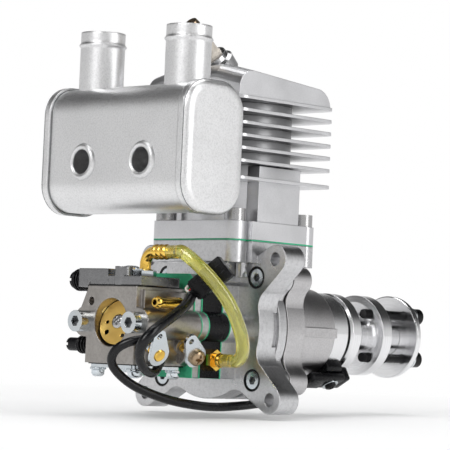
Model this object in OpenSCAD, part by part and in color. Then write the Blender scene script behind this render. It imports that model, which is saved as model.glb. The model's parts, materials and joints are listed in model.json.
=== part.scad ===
// Single-cylinder two-stroke petrol engine for a model aircraft, 35 cc, rear carburettor.
// X is the engine's right side, Y points forward to the propeller, Z is up along the cylinder.
// The origin lies on the crankshaft axis, in the rear plane of the four mounting lugs.

/* [Cylinder] */
// Cylinder bore
bore_d = 39.5; // [36:0.5:41]
// Piston stroke
stroke = 28.5; // [26:0.5:29]
// Distance of the cylinder axis in front of the lug plane
cyl_y = 12.3; // [11.5:0.1:13.5]
// Wall of the barrel round the bore
barrel_wall = 2.3; // [2:0.1:2.8]
// Half width of the square cooling fins
fin_half = 28.7; // [27.5:0.1:30]
// Corner radius of the fins
fin_corner = 5; // [3:0.5:8]
// Fin thickness
fin_t = 1.3; // [1:0.1:1.6]
// Fin spacing
fin_pitch = 5.1; // [4.6:0.1:5.3]
// Number of evenly spaced fins under the head
fin_count = 6; // [4:1:6]
// Extra drop of the lowest fin
low_fin_gap = 1.7; // [1:0.1:2.4]
// Height of the head block above the top fin, at its sides
head_h = 10.4; // [9:0.1:12]
// Extra height of the head's middle, which holds the spark plug
head_ridge = 3.4; // [2.5:0.1:4.5]
// Half width of the head block
head_half = 26.5; // [25:0.1:27.4]
// Thickness of the cylinder base flange
flange_t = 7.4; // [6.5:0.1:8.5]

/* [Crankcase] */
// Height of the deck top above the crankshaft
deck_z = 35; // [34:0.5:38]
// Thickness of the deck
deck_t = 8.7; // [8:0.1:9.5]
// Spacing of the four base screws
base_bolt = 39.6; // [39:0.1:42]
// Radius of the deck lobes round the base screws
base_lobe = 4.9; // [4.5:0.1:5.4]
// Half width of the deck over its side bulges
deck_side = 26.3; // [25.6:0.1:27.5]
// Outer radius of the crankcase
case_r = 29; // [28.6:0.1:30]
// Radius of the crank chamber
chamber_r = 24.6; // [24.2:0.1:25]
// Length of the main casting's barrel, to the joint with the front housing
case_len = 16; // [15.6:0.1:17]
// Spacing of the mounting lugs across
lug_x = 72; // [70:0.5:76]
// Spacing of the mounting lugs up and down
lug_z = 56; // [54:0.5:60]
// Mounting hole diameter
lug_hole = 5.3; // [5:0.1:6]
// End radius of a mounting lug
lug_r = 5.8; // [5.4:0.1:6.6]
// Thickness of a mounting lug
lug_t = 11; // [9:0.5:12]
// Spacing of the case screws across
case_x = 52; // [51:0.5:53]
// Spacing of the case screws up and down
case_z = 41.2; // [40.6:0.2:42]

/* [Front housing] */
// Thickness of the front housing's flange
nose_flange = 11; // [10.6:0.1:12]
// Radius of the cast nose at its root
nose_r1 = 20.6; // [20.2:0.1:22]
// Radius of the cast nose at its front
nose_r2 = 18.6; // [18.2:0.1:19.4]
// Length of the cast nose in front of the flange
nose_len = 29.6; // [28.6:0.2:31]
// Length of the machined ring at the nose's front
ring_len = 9.9; // [9.5:0.1:10.5]
// Radius of the machined ring
ring_r = 17.2; // [16.8:0.1:17.6]

/* [Crankshaft and hub] */
// Connecting rod length between centres
rod_len = 52; // [51:0.5:53]
// Shaft diameter in the rear bearing
shaft_d = 15; // [15:1:15]
// Shaft diameter in the front bearing and the hub
shaft_front_d = 12; // [12:1:12]
// Crankpin diameter
pin_d = 10; // [9:0.5:10]
// Wrist pin diameter
wrist_d = 9; // [8:0.5:10]
// Length of the hub's rear disc
hub_disc1 = 6.1; // [5:0.1:7]
// Length of the hub's neck
hub_neck = 13; // [12:0.5:15]
// Length of the hub's front disc
hub_disc2 = 7; // [6:0.1:8]
// Radius of the hub's discs
hub_r = 17.3; // [17:0.1:18.4]
// Radius of the hub's centre boss
boss_r = 8; // [7:0.1:8.6]
// Gap between the hub's front disc and the front washer, where the propeller goes
prop_gap = 15.6; // [12:0.2:20]
// Front washer thickness
washer_t = 2.8; // [2:0.1:4]
// Front washer radius
washer_r = 18; // [17:0.1:19]
// Circle diameter of the propeller bolts
prop_pcd = 26.5; // [25:0.1:27]

/* [Muffler] */
// Width of the muffler box between its end caps
muffler_w = 82; // [76:1:90]
// Depth of the muffler box
muffler_d = 30; // [28:0.5:34]
// Height of the muffler box
muffler_h = 50; // [46:0.5:54]
// Outer corner radius of the muffler box
muffler_corner = 11; // [9:0.5:13]
// Sheet thickness of the muffler
muffler_wall = 1.2; // [1:0.1:1.5]
// Spacing of the outlet tubes
outlet_x = 50; // [46:1:54]
// Outer diameter of the outlet tubes
outlet_d = 18; // [16:0.5:20]
// Length of the outlet tubes above the box
outlet_len = 23; // [18:0.5:30]
// Spacing of the access tubes, which is that of the exhaust screws
exhaust_x = 34.4; // [33.6:0.2:36]
// Inner diameter of the access tubes
access_d = 10; // [9.4:0.2:10.6]

/* [Intake] */
// Spacing of the carburettor screws
stud_x = 31; // [31:1:31]
// Radius of the lobes round the carburettor screws
ear_r = 6; // [5.6:0.1:6.4]
// Half width of the intake stack
stack_half = 16.5; // [16:0.1:17]
// Half height of the intake stack
stack_z = 20.5; // [20:0.1:20.8]
// Thickness of each intake gasket
gasket_t = 0.6; // [0.5:0.1:0.8]
// Length of the crankcase intake pad
pad_len = 8.6; // [8:0.1:9.5]
// Length of the reed block
reed_len = 11.1; // [10.5:0.1:12]
// Thickness of the adapter plate
adapter_t = 3.5; // [3:0.1:4]
// Length of the carburettor body
carb_len = 29; // [28:0.5:30]
// Half width of the carburettor body
carb_half = 14; // [13.8:0.1:14.4]
// Diameter of the carburettor's air intake
throat_d = 19; // [18:0.2:19.4]
// Slope of the choke and throttle shafts below level
shaft_slope = 28; // [26:0.5:30]

/* [Hidden] */
$fn = 64;
// Clearances: a running fit, a free gap between moving pieces, and a screw in its hole
run_c = 0.02;
free_c = 0.3;
hole_c = 0.15;
// Screw sizes: thread radius, head radius, head height
m5 = [2.5, 4.25, 5];
m4 = [2, 3.5, 4];
m3 = [1.5, 2.75, 1.8];
// Colours
cast_c = "silver";
bright_c = "gainsboro";
zinc_c = "lightsteelblue";
brass_c = "goldenrod";
black_c = "dimgray";
green_c = "mediumseagreen";

// Case outline: fillets, lobes round the case screws, roots of the lug arms
case_fillet = 8;
// Half size of a cutting block, gap under the deck, and how far a gasket lies inside its joint
far = 50;
deck_gap = 0.2;
gasket_inset = 0.4;
lobe_r = 5.5;
arm_r = 7.4;
// Stations along the crankshaft
seam_y = case_len;
flange_y = seam_y + nose_flange;
nose_y = flange_y + nose_len;
ring_y = nose_y + ring_len;
rear_wall = 3;
rod_w = 10;
rod_y0 = cyl_y - rod_w / 2;
rod_y1 = cyl_y + rod_w / 2;
web_y0 = rod_y1 + free_c;
web_y1 = flange_y - 3.6;
brg1_y0 = flange_y + 0.5;
brg1_w = 11;
brg1_r = 17.5;
brg2_w = 8;
brg2_y0 = ring_y - 4 - brg2_w;
brg2_r = 14;
seal_w = 3.4;
hub_y0 = ring_y + 2.5;
hub_y1 = hub_y0 + hub_disc1;
hub_y2 = hub_y1 + hub_neck;
hub_y3 = hub_y2 + hub_disc2;
washer_y0 = hub_y3 + prop_gap;
washer_y1 = washer_y0 + washer_t;
lockwasher_t = 1.5;
prop_bolt_end = hub_y2 - 4;
prop_bolt_r = m4[0];
// Cylinder heights
bore_r = bore_d / 2;
barrel_r = bore_r + barrel_wall;
crank_r = stroke / 2;
flange_z0 = deck_z + gasket_t;
flange_z1 = flange_z0 + flange_t;
crown_h = 22;
skirt_h = 8.6;
squish = 1.2;
crown_z = crank_r + rod_len + crown_h;
bore_top = crown_z + squish;
top_fin = bore_top + 2.1;
head_z = top_fin + fin_t;
spigot_z = deck_z - 6;
exhaust_z = deck_z + 28.2;
exhaust_face = cyl_y - fin_half - 1;
port_w = 24;
port_h = 11;
// Spark plug: the point of its tip, and its lean to the rear
plug_lean = 45;
plug_tip = [0, cyl_y + 1, bore_top + 2.8];
plug_reach = 12.7;
plug_thread = 5;
// Muffler
muf_front = exhaust_face - 10;
muf_y = muf_front - muffler_d / 2;
muf_z = exhaust_z + 5.6;
muf_rear = muf_front - muffler_d;
muf_flange_t = 3;
exh_gasket_t = 0.8;
outlet_wall = 1.2;
access_wall = 1.5;
outlet_top = muf_z + muffler_h / 2 + outlet_len;
shell_end = muffler_w / 2 - 1.2;
// Intake stations, from the crankcase to the rear
pad_y = -pad_len;
reed_y1 = pad_y - gasket_t;
reed_y0 = reed_y1 - reed_len;
plate_y1 = reed_y0 - gasket_t;
plate_y0 = plate_y1 - adapter_t;
carb_y1 = plate_y0 - gasket_t;
carb_y0 = carb_y1 - carb_len;
carb_top = 14.3;
carb_bot = -16.2;
intake_w = 19;
intake_h = 23;
// Carburettor shafts
choke_y = carb_y0 + 5.2;
throttle_y = carb_y1 - 3.8;
throttle_bore = 15;
venturi_r = 6;
shaft_r = 2.2;
lever_s = 25;
lever_t = 1.2;
lever_arm = 9.1;
shaft_far = -17.6;
choke_tilt = -20;
throttle_tilt = -12;
plate_t = 0.8;
cover_t = 3.7;
dia_t = 0.4;
// Adjusters on the left of the carburettor
idle_pos = [-21, carb_y0 + 11, 16.8];
mix_pos = [-carb_half, carb_y0 + 9.5, -9.2];
// Fuel and pulse fittings
elbow_pos = [3.5, carb_y0 + 14];
elbow_top = 28.4;
elbow_tip = 21;
nipple_y = (reed_y0 + reed_y1) / 2;
nipple_z = -13.2;
nipple_tip = 28;
hose_r = 2.75;
barb_r = 1.9;
// Hose centre line, from the elbow's tip to the nipple's tip
hose_pts = [[21.35, -40, 28.4], [24.5, -40, 28.3], [30, -38.2, 24.4], [34.2, -34, 18.8],
    [37.6, -29.5, 12.3], [39.4, -26, 6.2], [39.6, -22.5, 0.1], [38.4, -18.9, -5.4],
    [35.6, -16, -10.4], [32, -14.8, -12.9], [28.35, -14.75, -13.2]];
// Sensor cable centre line, from the sensor to its connector
cable_r = 2.1;
cable_pts = [[11.5, 47, -19.9], [12, 40, -22.2], [13, 33, -26], [13.6, 26, -29], [15.5, 17, -29.9],
    [17, 5, -31], [18, -12, -31.8], [18, -26, -31], [17, -39, -29], [14.7, -52, -25],
    [13, -60, -20.2], [12, -63.5, -15.5], [14, -63.6, -11], [18, -61, -7.8], [21.8, -56, -6.3],
    [21.8, -49, -6.1], [19.4, -43.2, -8.2], [17.2, -42, -13], [17.6, -44.8, -17.8],
    [20.2, -50, -19.2], [22.8, -56.6, -17.2], [25.4, -61.6, -12.4], [28.8, -63, -7.6],
    [30.2, -59, -2.8], [28.8, -49, 2.6], [27, -40.6, 6.8], [24.7, -35, 10.7],
    [20.4, -30, 12.8]];
conn_len = 17.6;
conn_w = 8.7;
conn_t = 5;
conn_turn = 31;
conn_rise = 40;
// Hall sensor, turned about the crankshaft from straight down
sensor_turn = 30;
sensor_w = 9;
sensor_in = ring_r + 3.8;
sensor_out = ring_r + 7.8;
sensor_y0 = nose_y - 9.6;
sensor_y1 = ring_y + 1.5;
holder_w = 12;
holder_front = ring_y + 4.5;
sensor_screw_r = 1.3;

// Extrude a profile drawn in X and Z along Y
module along_y(y0, y1) translate([0, y1, 0]) rotate([90, 0, 0]) linear_extrude(y1 - y0) children();
// Cylinder along Y
module rod_y(r, y0, y1) translate([0, y0, 0]) rotate([-90, 0, 0]) cylinder(h = y1 - y0, r = r);
// Cone along Y
module cone_y(ra, rb, y0, y1) translate([0, y0, 0]) rotate([-90, 0, 0]) cylinder(h = y1 - y0, r1 = ra, r2 = rb);
// Revolve a profile of [radius, y] points about the crankshaft
module revolve_y() rotate([-90, 0, 0]) rotate_extrude() children();
// The four corners of a rectangle
module corners(dx, dz) for (sx = [-1, 1], sz = [-1, 1]) translate([sx * dx / 2, 0, sz * dz / 2]) children();
module corners_xy(dx, dy) for (sx = [-1, 1], sy = [-1, 1]) translate([sx * dx / 2, sy * dy / 2, 0]) children();
// Flat bar with round ends of two radii
module bar2d(p, rp, q, rq) {
    d = q - p;
    a = atan2(d[1], d[0]);
    b = acos((rp - rq) / norm(d));
    translate(p) circle(rp);
    translate(q) circle(rq);
    polygon([p + rp * [cos(a + b), sin(a + b)], q + rq * [cos(a + b), sin(a + b)],
        q + rq * [cos(a - b), sin(a - b)], p + rp * [cos(a - b), sin(a - b)]]);
}
// Bar with two round ends of one radius
module ears2d(spacing, r) {
    square([spacing, 2 * r], center = true);
    for (s = [-1, 1]) translate([s * spacing / 2, 0]) circle(r);
}
// Rectangle with round corners
module rounded2d(w, h, r) {
    square([w - 2 * r, h], center = true);
    square([w, h - 2 * r], center = true);
    for (sx = [-1, 1], sy = [-1, 1]) translate([sx * (w / 2 - r), sy * (h / 2 - r)]) circle(r);
}
// Socket-head screw along +Z: the shank goes down from z = 0 and the head stands on it
module cap_screw(size, len) {
    difference() {
        translate([0, 0, 0]) cylinder(h = size[2], r = size[1]);
        translate([0, 0, size[2] * 0.45]) cylinder(h = size[2], r = size[0] * 0.92, $fn = 6);
    }
    translate([0, 0, -len]) cylinder(h = len + 0.01, r = size[0] - 0.05);
}
// Sweep a round tube along a smooth curve through the points
function lerp3(p0, p1, p2, p3, t) = 0.5 * ((2 * p1) + (p2 - p0) * t
    + (2 * p0 - 5 * p1 + 4 * p2 - p3) * t * t + (3 * p1 - p0 - 3 * p2 + p3) * t * t * t);
function curve(p, n) = let (m = len(p) - 1) [for (i = [0 : m * n])
    let (k = min(floor(i / n), m - 1), t = i / n - k)
    lerp3(p[max(k - 1, 0)], p[k], p[k + 1], p[min(k + 2, m)], t)];
function unit(v) = v / norm(v);
function tangents(c) = let (m = len(c) - 1) [for (i = [0 : m]) unit(c[min(i + 1, m)] - c[max(i - 1, 0)])];
function carry(u, t) = unit(u - (u * t) * t);
function sides(t, i, u) = let (v = carry(u, t[i])) i == len(t) - 1 ? [v] : concat([v], sides(t, i + 1, v));
module sweep(points, steps, r, n) {
    c = curve(points, steps);
    t = tangents(c);
    u = sides(t, 0, abs(t[0][2]) > 0.8 ? [1, 0, 0] : [0, 0, 1]);
    m = len(c);
    ring = [for (i = [0 : m - 1], k = [0 : n - 1]) let (w = cross(t[i], u[i]), a = 360 * k / n)
        c[i] + r * (cos(a) * u[i] + sin(a) * w)];
    walls = [for (i = [0 : m - 2], k = [0 : n - 1]) let (a = i * n + k, b = i * n + (k + 1) % n)
        [a, a + n, b + n, b]];
    polyhedron(ring, concat(walls, [[for (k = [0 : n - 1]) k],
        [for (k = [n - 1 : -1 : 0]) (m - 1) * n + k]]));
}

// Concave fillets of radius f where a round lobe at p stands out of a circle about the crankshaft
module fillets2d(r0, p, r, f) {
    d = norm(p);
    a = acos((d * d + pow(r0 + f, 2) - pow(r + f, 2)) / (2 * d * (r0 + f)));
    for (s = [-1, 1]) {
        b = atan2(p[1], p[0]) + s * a;
        c = (r0 + f) * [cos(b), sin(b)];
        difference() {
            polygon([[0, 0], p, c]);
            translate(c) circle(f + 0.05);
        }
    }
}

// Plan of the deck and of the cylinder's base flange
module base2d() translate([0, cyl_y]) {
    corner = base_bolt / 2;
    for (sx = [-1, 1], sy = [-1, 1]) translate([sx * corner, sy * corner]) circle(base_lobe);
    square([base_bolt, base_bolt + 2 * base_lobe], center = true);
    square([2 * deck_side, 32], center = true);
}
module case_lobe2d(r, round) for (sx = [-1, 1], sz = [-1, 1]) {
    p = [sx * case_x / 2, sz * case_z / 2];
    translate(p) circle(r);
    fillets2d(round, p, r, case_fillet);
}
// Corner lobes of the case's gasket, each on a straight neck
module corner_lobes2d(r, neck) for (sx = [-1, 1], sz = [-1, 1]) {
    p = [sx * case_x / 2, sz * case_z / 2];
    translate(p) circle(r);
    rotate(atan2(p[1], p[0])) translate([0, -neck]) square([norm(p), 2 * neck]);
}
module below_deck() translate([-far, 0, -far]) cube([2 * far, flange_y + 1, far + deck_z - deck_t - deck_gap]);
module arms2d() for (sx = [-1, 1], sz = [-1, 1]) {
    p = [sx * case_x / 2, sz * case_z / 2];
    bar2d(p, arm_r, [sx * lug_x / 2, sz * lug_z / 2], lug_r);
    fillets2d(case_r, p, arm_r, case_fillet);
}
module stack2d(hw, hz) {
    chamfer = 3.5;
    polygon([[-hw, -hz], [hw, -hz], [hw, hz - chamfer], [hw - chamfer, hz], [-hw + chamfer, hz], [-hw, hz - chamfer]]);
    for (s = [-1, 1]) translate([s * stud_x / 2, 0]) circle(ear_r);
}
module transfer_cut(z0, z1) for (s = [-1, 1]) translate([s * (bore_r + 2.4), cyl_y, (z0 + z1) / 2])
    cube([2.6, 12, z1 - z0], center = true);

// Main crankcase casting: deck, rear plate with four lugs, and intake pad
module crankcase() color(cast_c) {
    deck_z0 = deck_z - deck_t;
    groove = 1.6;
    plate_t = 8.5;
    difference() {
        union() {
            translate([0, 0, deck_z0]) linear_extrude(deck_t) base2d();
            along_y(0, plate_t) circle(case_r);
            along_y(plate_t - 0.5, seam_y) circle(case_r - groove);
            along_y(seam_y - 4.4, seam_y) circle(case_r);
            along_y(0, lug_t) arms2d();
            along_y(0, seam_y) case_lobe2d(lobe_r, case_r - groove);
            along_y(pad_y, 0.5) stack2d(stack_half, stack_z);
            // Rear shoulder that carries the deck over the intake
            translate([-17.5, -pad_len + 0.4, stack_z - 2]) cube([35, pad_len + 3, deck_z0 - stack_z + 2.5]);
            // Neck between the case and the deck
            translate([-deck_side + 2, 1, 12]) cube([2 * (deck_side - 2), seam_y - 1, deck_z0 - 11.5]);
            // Ribs from the plate to the shoulder
            for (s = [-1, 1]) translate([s * 20, -2.4, stack_z]) cylinder(h = deck_z0 - stack_z + 0.5, r = 2.4);
        }
        // Spigot and piston space
        translate([0, cyl_y, spigot_z - 0.2]) cylinder(h = deck_t, r = barrel_r + hole_c);
        intersection() {
            translate([0, cyl_y, 0]) cylinder(h = deck_z, r = bore_r + 0.3);
            translate([-bore_r, rear_wall, 8]) cube([bore_d, seam_y + 1 - rear_wall, deck_z]);
        }
        rod_y(chamber_r, rear_wall, seam_y + 1);
        translate([0, 0, 14]) for (s = [-1, 1]) translate([s * (bore_r + 2), cyl_y - 3.5, 7])
            cube([3.4, 10, 2 * (deck_z - 20)], center = true);
        // Intake window
        translate([-intake_w / 2, pad_y - 1, -intake_h / 2]) cube([intake_w, pad_len + rear_wall + 2, intake_h]);
        // Threads of the carburettor screws
        for (s = [-1, 1]) translate([s * stud_x / 2, 0, 0]) rod_y(m5[0], pad_y - 1, -0.6);
        // Mounting holes
        corners(lug_x, lug_z) rod_y(lug_hole / 2, -1, lug_t + 1);
        // Case screw holes and their counterbores
        corners(case_x, case_z) rod_y(m4[0] + hole_c, -1, seam_y + 1);
        corners(case_x, case_z) rod_y(m4[1] + 0.75, -10, m4[2] + 0.2);
        // Base screw threads
        translate([0, cyl_y, deck_z0 + 1]) corners_xy(base_bolt, base_bolt) cylinder(h = deck_t, r = m5[0]);
    }
}

// Front housing: flange, cast nose with four ribs, machined ring, bearing seats
module front_housing() color(cast_c) difference() {
    union() {
        intersection() {
            along_y(seam_y + gasket_t, flange_y) {
                circle(case_r);
                case_lobe2d(lobe_r, case_r);
            }
            below_deck();
        }
        cone_y(nose_r1, nose_r2, flange_y - 1, nose_y);
        rod_y(ring_r, nose_y - 1, ring_y);
        for (a = [0, 90, 180, 270]) rotate([0, a, 0])
            translate([0, flange_y - 0.5, -2]) cube([nose_r1 + 1, nose_len - 1.5, 4]);
    }
    rod_y(chamber_r, seam_y - 1, web_y1 + 0.4);
    rod_y(shaft_d / 2 + 3.4, web_y1, brg1_y0 + 0.01);
    rod_y(brg1_r, brg1_y0, brg1_y0 + brg1_w);
    cone_y(brg1_r - 2.5, brg2_r - 2, brg1_y0 + brg1_w - 0.01, brg2_y0 + 0.01);
    rod_y(brg2_r, brg2_y0, ring_y + 1);
    corners(case_x, case_z) rod_y(m4[0], seam_y - 1, flange_y - 1.5);
}

module housing_gasket() color(black_c) difference() {
    intersection() {
        along_y(seam_y, seam_y + gasket_t) {
            circle(case_r - gasket_inset);
            corner_lobes2d(lobe_r - gasket_inset, 4.2);
        }
        below_deck();
    }
    rod_y(chamber_r, 0, flange_y);
    corners(case_x, case_z) rod_y(m4[0] + hole_c, 0, flange_y);
}

module case_screws() color(zinc_c) corners(case_x, case_z)
    translate([0, m4[2] + 0.2, 0]) rotate([90, 0, 0]) cap_screw(m4, 18);

// Side profile of the head block, as points of Y and Z
module head2d(lift) {
    y0 = cyl_y - fin_half + 1.6;
    y1 = cyl_y + fin_half - 2;
    r0 = 7.5;
    r1 = 8.3;
    z_rear = head_h + lift;
    z_front = head_h - 3.6 + lift;
    intersection() {
        union() {
            translate([y0 + r0, z_rear - r0]) circle(r0);
            translate([y1 - r1, z_front - r1 + 0.4]) circle(r1);
            polygon([[y0, -0.5], [y0, z_rear - r0], [y0 + r0 + 0.5, z_rear], [y1 - r1 + 0.8, z_front + 0.37],
                [y1, z_front - r1 + 0.4], [y1, -0.5]]);
        }
        translate([y0 - 1, -0.5]) square([y1 - y0 + 2, z_rear + 2]);
    }
}
module head_slice(x, lift) translate([x - 0.25, 0, head_z]) rotate([90, 0, 90]) linear_extrude(0.5) head2d(lift);
// Bring the spark plug's own axis, which points up along Z, to its place
module at_plug() translate(plug_tip) rotate([plug_lean, 0, 0]) children();

// Cylinder: base flange, barrel, transfer bulges, fins, head and exhaust flange in one casting
module cylinder_casting() {
    translate([0, 0, flange_z0]) linear_extrude(flange_t) base2d();
    translate([0, cyl_y, spigot_z]) cylinder(h = head_z - spigot_z, r = barrel_r);
    // Transfer bulges
    bulge_z = top_fin - 5 * fin_pitch;
    translate([-25, cyl_y - 12, flange_z1 - 0.5]) cube([50, 24, bulge_z - flange_z1]);
    translate([-9, cyl_y, flange_z1 - 0.5]) cube([18, barrel_r + 3, bulge_z - flange_z1]);
    // Fins, the lowest set a little lower
    for (i = [0 : fin_count - 1]) translate([0, cyl_y, top_fin - i * fin_pitch])
        linear_extrude(fin_t) rounded2d(2 * fin_half, 2 * fin_half, fin_corner);
    translate([0, cyl_y, top_fin - fin_count * fin_pitch - low_fin_gap])
        linear_extrude(fin_t) rounded2d(2 * fin_half, 2 * fin_half, fin_corner);
    // Head block, highest along its middle
    hull() {
        head_slice(-head_half, 0, $fn = 32);
        head_slice(-12, head_ridge, $fn = 32);
        head_slice(12, head_ridge, $fn = 32);
        head_slice(head_half, 0, $fn = 32);
    }
    // Exhaust duct and flange
    translate([0, cyl_y, exhaust_z]) rotate([90, 0, 0]) linear_extrude(cyl_y - exhaust_face)
        rounded2d(port_w + 7, port_h + 7, 5);
    along_y(exhaust_face, exhaust_face + 5) translate([0, exhaust_z])
        ears2d(exhaust_x, 6);
    along_y(exhaust_face, exhaust_face + 5) translate([0, exhaust_z]) rounded2d(port_w + 7, port_h + 9, 6);
}
module cylinder_block() color(cast_c) difference() {
    cylinder_casting();
    translate([0, cyl_y, spigot_z - 1]) cylinder(h = bore_top - spigot_z + 1, r = bore_r);
    // Combustion chamber
    dome_r = 17;
    translate([0, cyl_y, bore_top - 11]) intersection() {
        sphere(dome_r);
        translate([0, 0, 11 - 0.01]) cylinder(h = 10, r = dome_r);
    }
    // Transfer passages and their windows
    transfer_cut(spigot_z - 1, exhaust_z + 2);
    for (s = [-1, 1]) translate([s * (bore_r + 1), cyl_y, exhaust_z - 1]) cube([4, 12, 6], center = true);
    // Exhaust port
    translate([0, cyl_y - bore_r + 3, exhaust_z]) rotate([90, 0, 0]) linear_extrude(fin_half)
        rounded2d(port_w, port_h, 3);
    for (s = [-1, 1]) translate([s * exhaust_x / 2, 0, exhaust_z])
        rod_y(m5[0], exhaust_face - 1, exhaust_face + 8);
    // Spark plug thread and seat
    at_plug() translate([0, 0, -3]) cylinder(h = plug_reach + 4, r = plug_thread);
    at_plug() translate([0, 0, plug_reach]) cylinder(h = 30, r = 9);
    // Base screw holes
    translate([0, cyl_y, 0]) corners_xy(base_bolt, base_bolt)
        translate([0, 0, flange_z0 - 1]) cylinder(h = flange_t + 2, r = m5[0] + hole_c);
}

module base_gasket() color(green_c) difference() {
    translate([0, 0, deck_z]) linear_extrude(gasket_t) base2d();
    translate([0, cyl_y, deck_z - 1]) cylinder(h = 3, r = barrel_r + hole_c);
    transfer_cut(deck_z - 1, deck_z + 2);
    translate([0, cyl_y, deck_z - 1]) corners_xy(base_bolt, base_bolt) cylinder(h = 3, r = m5[0] + hole_c);
}

module base_screws() color(zinc_c) translate([0, cyl_y, flange_z1])
    corners_xy(base_bolt, base_bolt) cap_screw(m5, 14);

// Spark plug with 10 mm thread
module plug_shell() color(zinc_c) at_plug() rotate_extrude() polygon([[2.6, 0], [plug_thread - 0.05, 0],
    [plug_thread - 0.05, plug_reach], [7.4, plug_reach + 1.6], [7.4, plug_reach + 4.5], [7.9, plug_reach + 5],
    [7.9, plug_reach + 10.5], [6.6, plug_reach + 11.6], [6.2, plug_reach + 13.5], [4.6, plug_reach + 13.5],
    [4.6, plug_reach + 5], [2.6, plug_reach + 2]]);
module plug_insulator() color("white") at_plug() rotate_extrude() polygon([[0.9, 0.8], [2, 0.8], [2.6, 1.2],
    [2.6, plug_reach + 2], [4.6, plug_reach + 5], [4.6, plug_reach + 14.5], [4, plug_reach + 15.5],
    [3.4, plug_reach + 24], [0.9, plug_reach + 24]]);
module plug_terminal() color(zinc_c) at_plug() rotate_extrude() polygon([[0, -0.6], [0.9, -0.6],
    [0.9, plug_reach + 24], [3.2, plug_reach + 24], [3.2, plug_reach + 25], [2.2, plug_reach + 26.5],
    [2.2, plug_reach + 28], [3.1, plug_reach + 29.2], [2.6, plug_reach + 31.3], [0, plug_reach + 31.3]]);
module plug_washer() color("peru") at_plug() difference() {
    translate([0, 0, plug_reach]) cylinder(h = 1.6, r = 7.4);
    translate([0, 0, plug_reach - 1]) cylinder(h = 4, r = plug_thread);
    translate([0, 0, plug_reach]) cylinder(h = 1.61, r1 = plug_thread, r2 = 7.41);
}

// Exhaust side
module exhaust_gasket() color(black_c) difference() {
    along_y(exhaust_face - exh_gasket_t, exhaust_face) translate([0, exhaust_z]) {
        ears2d(exhaust_x, 6);
        rounded2d(port_w + 7, port_h + 9, 6);
    }
    along_y(exhaust_face - 3, exhaust_face + 3) translate([0, exhaust_z]) rounded2d(port_w, port_h, 3);
    for (s = [-1, 1]) translate([s * exhaust_x / 2, 0, exhaust_z])
        rod_y(m5[0] + hole_c, exhaust_face - 3, exhaust_face + 3);
}
muf_flange_y = exhaust_face - exh_gasket_t - muf_flange_t;
module exhaust_screws() color(zinc_c) for (s = [-1, 1]) translate([s * exhaust_x / 2, muf_flange_y, exhaust_z])
    rotate([90, 0, 0]) cap_screw(m5, muf_flange_t + exh_gasket_t + 7);
module muffler_flange() color(bright_c) difference() {
    union() {
        along_y(muf_flange_y, muf_flange_y + muf_flange_t) translate([0, exhaust_z]) {
            ears2d(exhaust_x, 6);
            rounded2d(port_w + 7, port_h + 9, 6);
        }
        along_y(muf_front, muf_flange_y + 0.5) translate([0, exhaust_z]) rounded2d(port_w - 1, port_h + 4, 4);
    }
    along_y(muf_front - 1, exhaust_face) translate([0, exhaust_z]) rounded2d(port_w - 4, port_h, 3);
    for (s = [-1, 1]) translate([s * exhaust_x / 2, 0, exhaust_z])
        rod_y(m5[0] + hole_c, muf_flange_y - 1, exhaust_face);
}
module box2d(grow) rounded2d(muffler_d + 2 * grow, muffler_h + 2 * grow, muffler_corner + grow);
module along_x(x0, x1) translate([x0, muf_y, muf_z]) rotate([90, 0, 90]) linear_extrude(x1 - x0) children();
module at_outlets() for (s = [-1, 1]) translate([s * outlet_x / 2, muf_y, 0]) children();
module at_access() for (s = [-1, 1]) translate([s * exhaust_x / 2, 0, exhaust_z]) children();
module muffler_shell() color(bright_c) difference() {
    along_x(-shell_end, shell_end) box2d(0);
    along_x(-shell_end - 1, shell_end + 1) box2d(-muffler_wall);
    at_outlets() translate([0, 0, muf_z]) cylinder(h = muffler_h, r = outlet_d / 2);
    at_access() rod_y(access_d / 2 + access_wall, muf_rear - 5, muf_front + 5);
    along_y(muf_front - 5, muf_front + 5) translate([0, exhaust_z]) rounded2d(port_w - 4, port_h, 3);
}
// End caps: each is a pressed pan with a round edge, folded over the shell's end
cap_rim = 2.6;
cap_round = [[0, 1], [1, 0.7], [1.9, 0], [2.4, -1.1], [2.6, -2.6]];
module muffler_caps() color(bright_c) for (s = [-1, 1]) mirror([s < 0 ? 1 : 0, 0, 0]) difference() {
    union() {
        along_x(shell_end - cap_rim, shell_end + 0.01) box2d(1);
        hull() for (p = cap_round) along_x(shell_end + p[0] - 0.02, shell_end + p[0]) box2d(p[1], $fn = 32);
    }
    along_x(shell_end - cap_rim - 1, shell_end) box2d(0);
    along_x(shell_end - 1, shell_end + cap_round[4][0] - muffler_wall) box2d(-muffler_wall - 1);
}
module outlet_tubes() color(bright_c) at_outlets() rotate_extrude() polygon([
    [outlet_d / 2 - outlet_wall, muf_z + 6], [outlet_d / 2, muf_z + 6], [outlet_d / 2, outlet_top - 6.3],
    [outlet_d / 2 + 0.7, outlet_top - 5.3], [outlet_d / 2, outlet_top - 4.3], [outlet_d / 2, outlet_top],
    [outlet_d / 2 - outlet_wall, outlet_top]]);
module access_tubes() color(bright_c) at_access() revolve_y() polygon([
    [access_d / 2, muf_rear - 1], [access_d / 2 + 1.2, muf_rear - 1], [access_d / 2 + access_wall, muf_rear],
    [access_d / 2 + access_wall, muf_front], [access_d / 2, muf_front]]);

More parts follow.
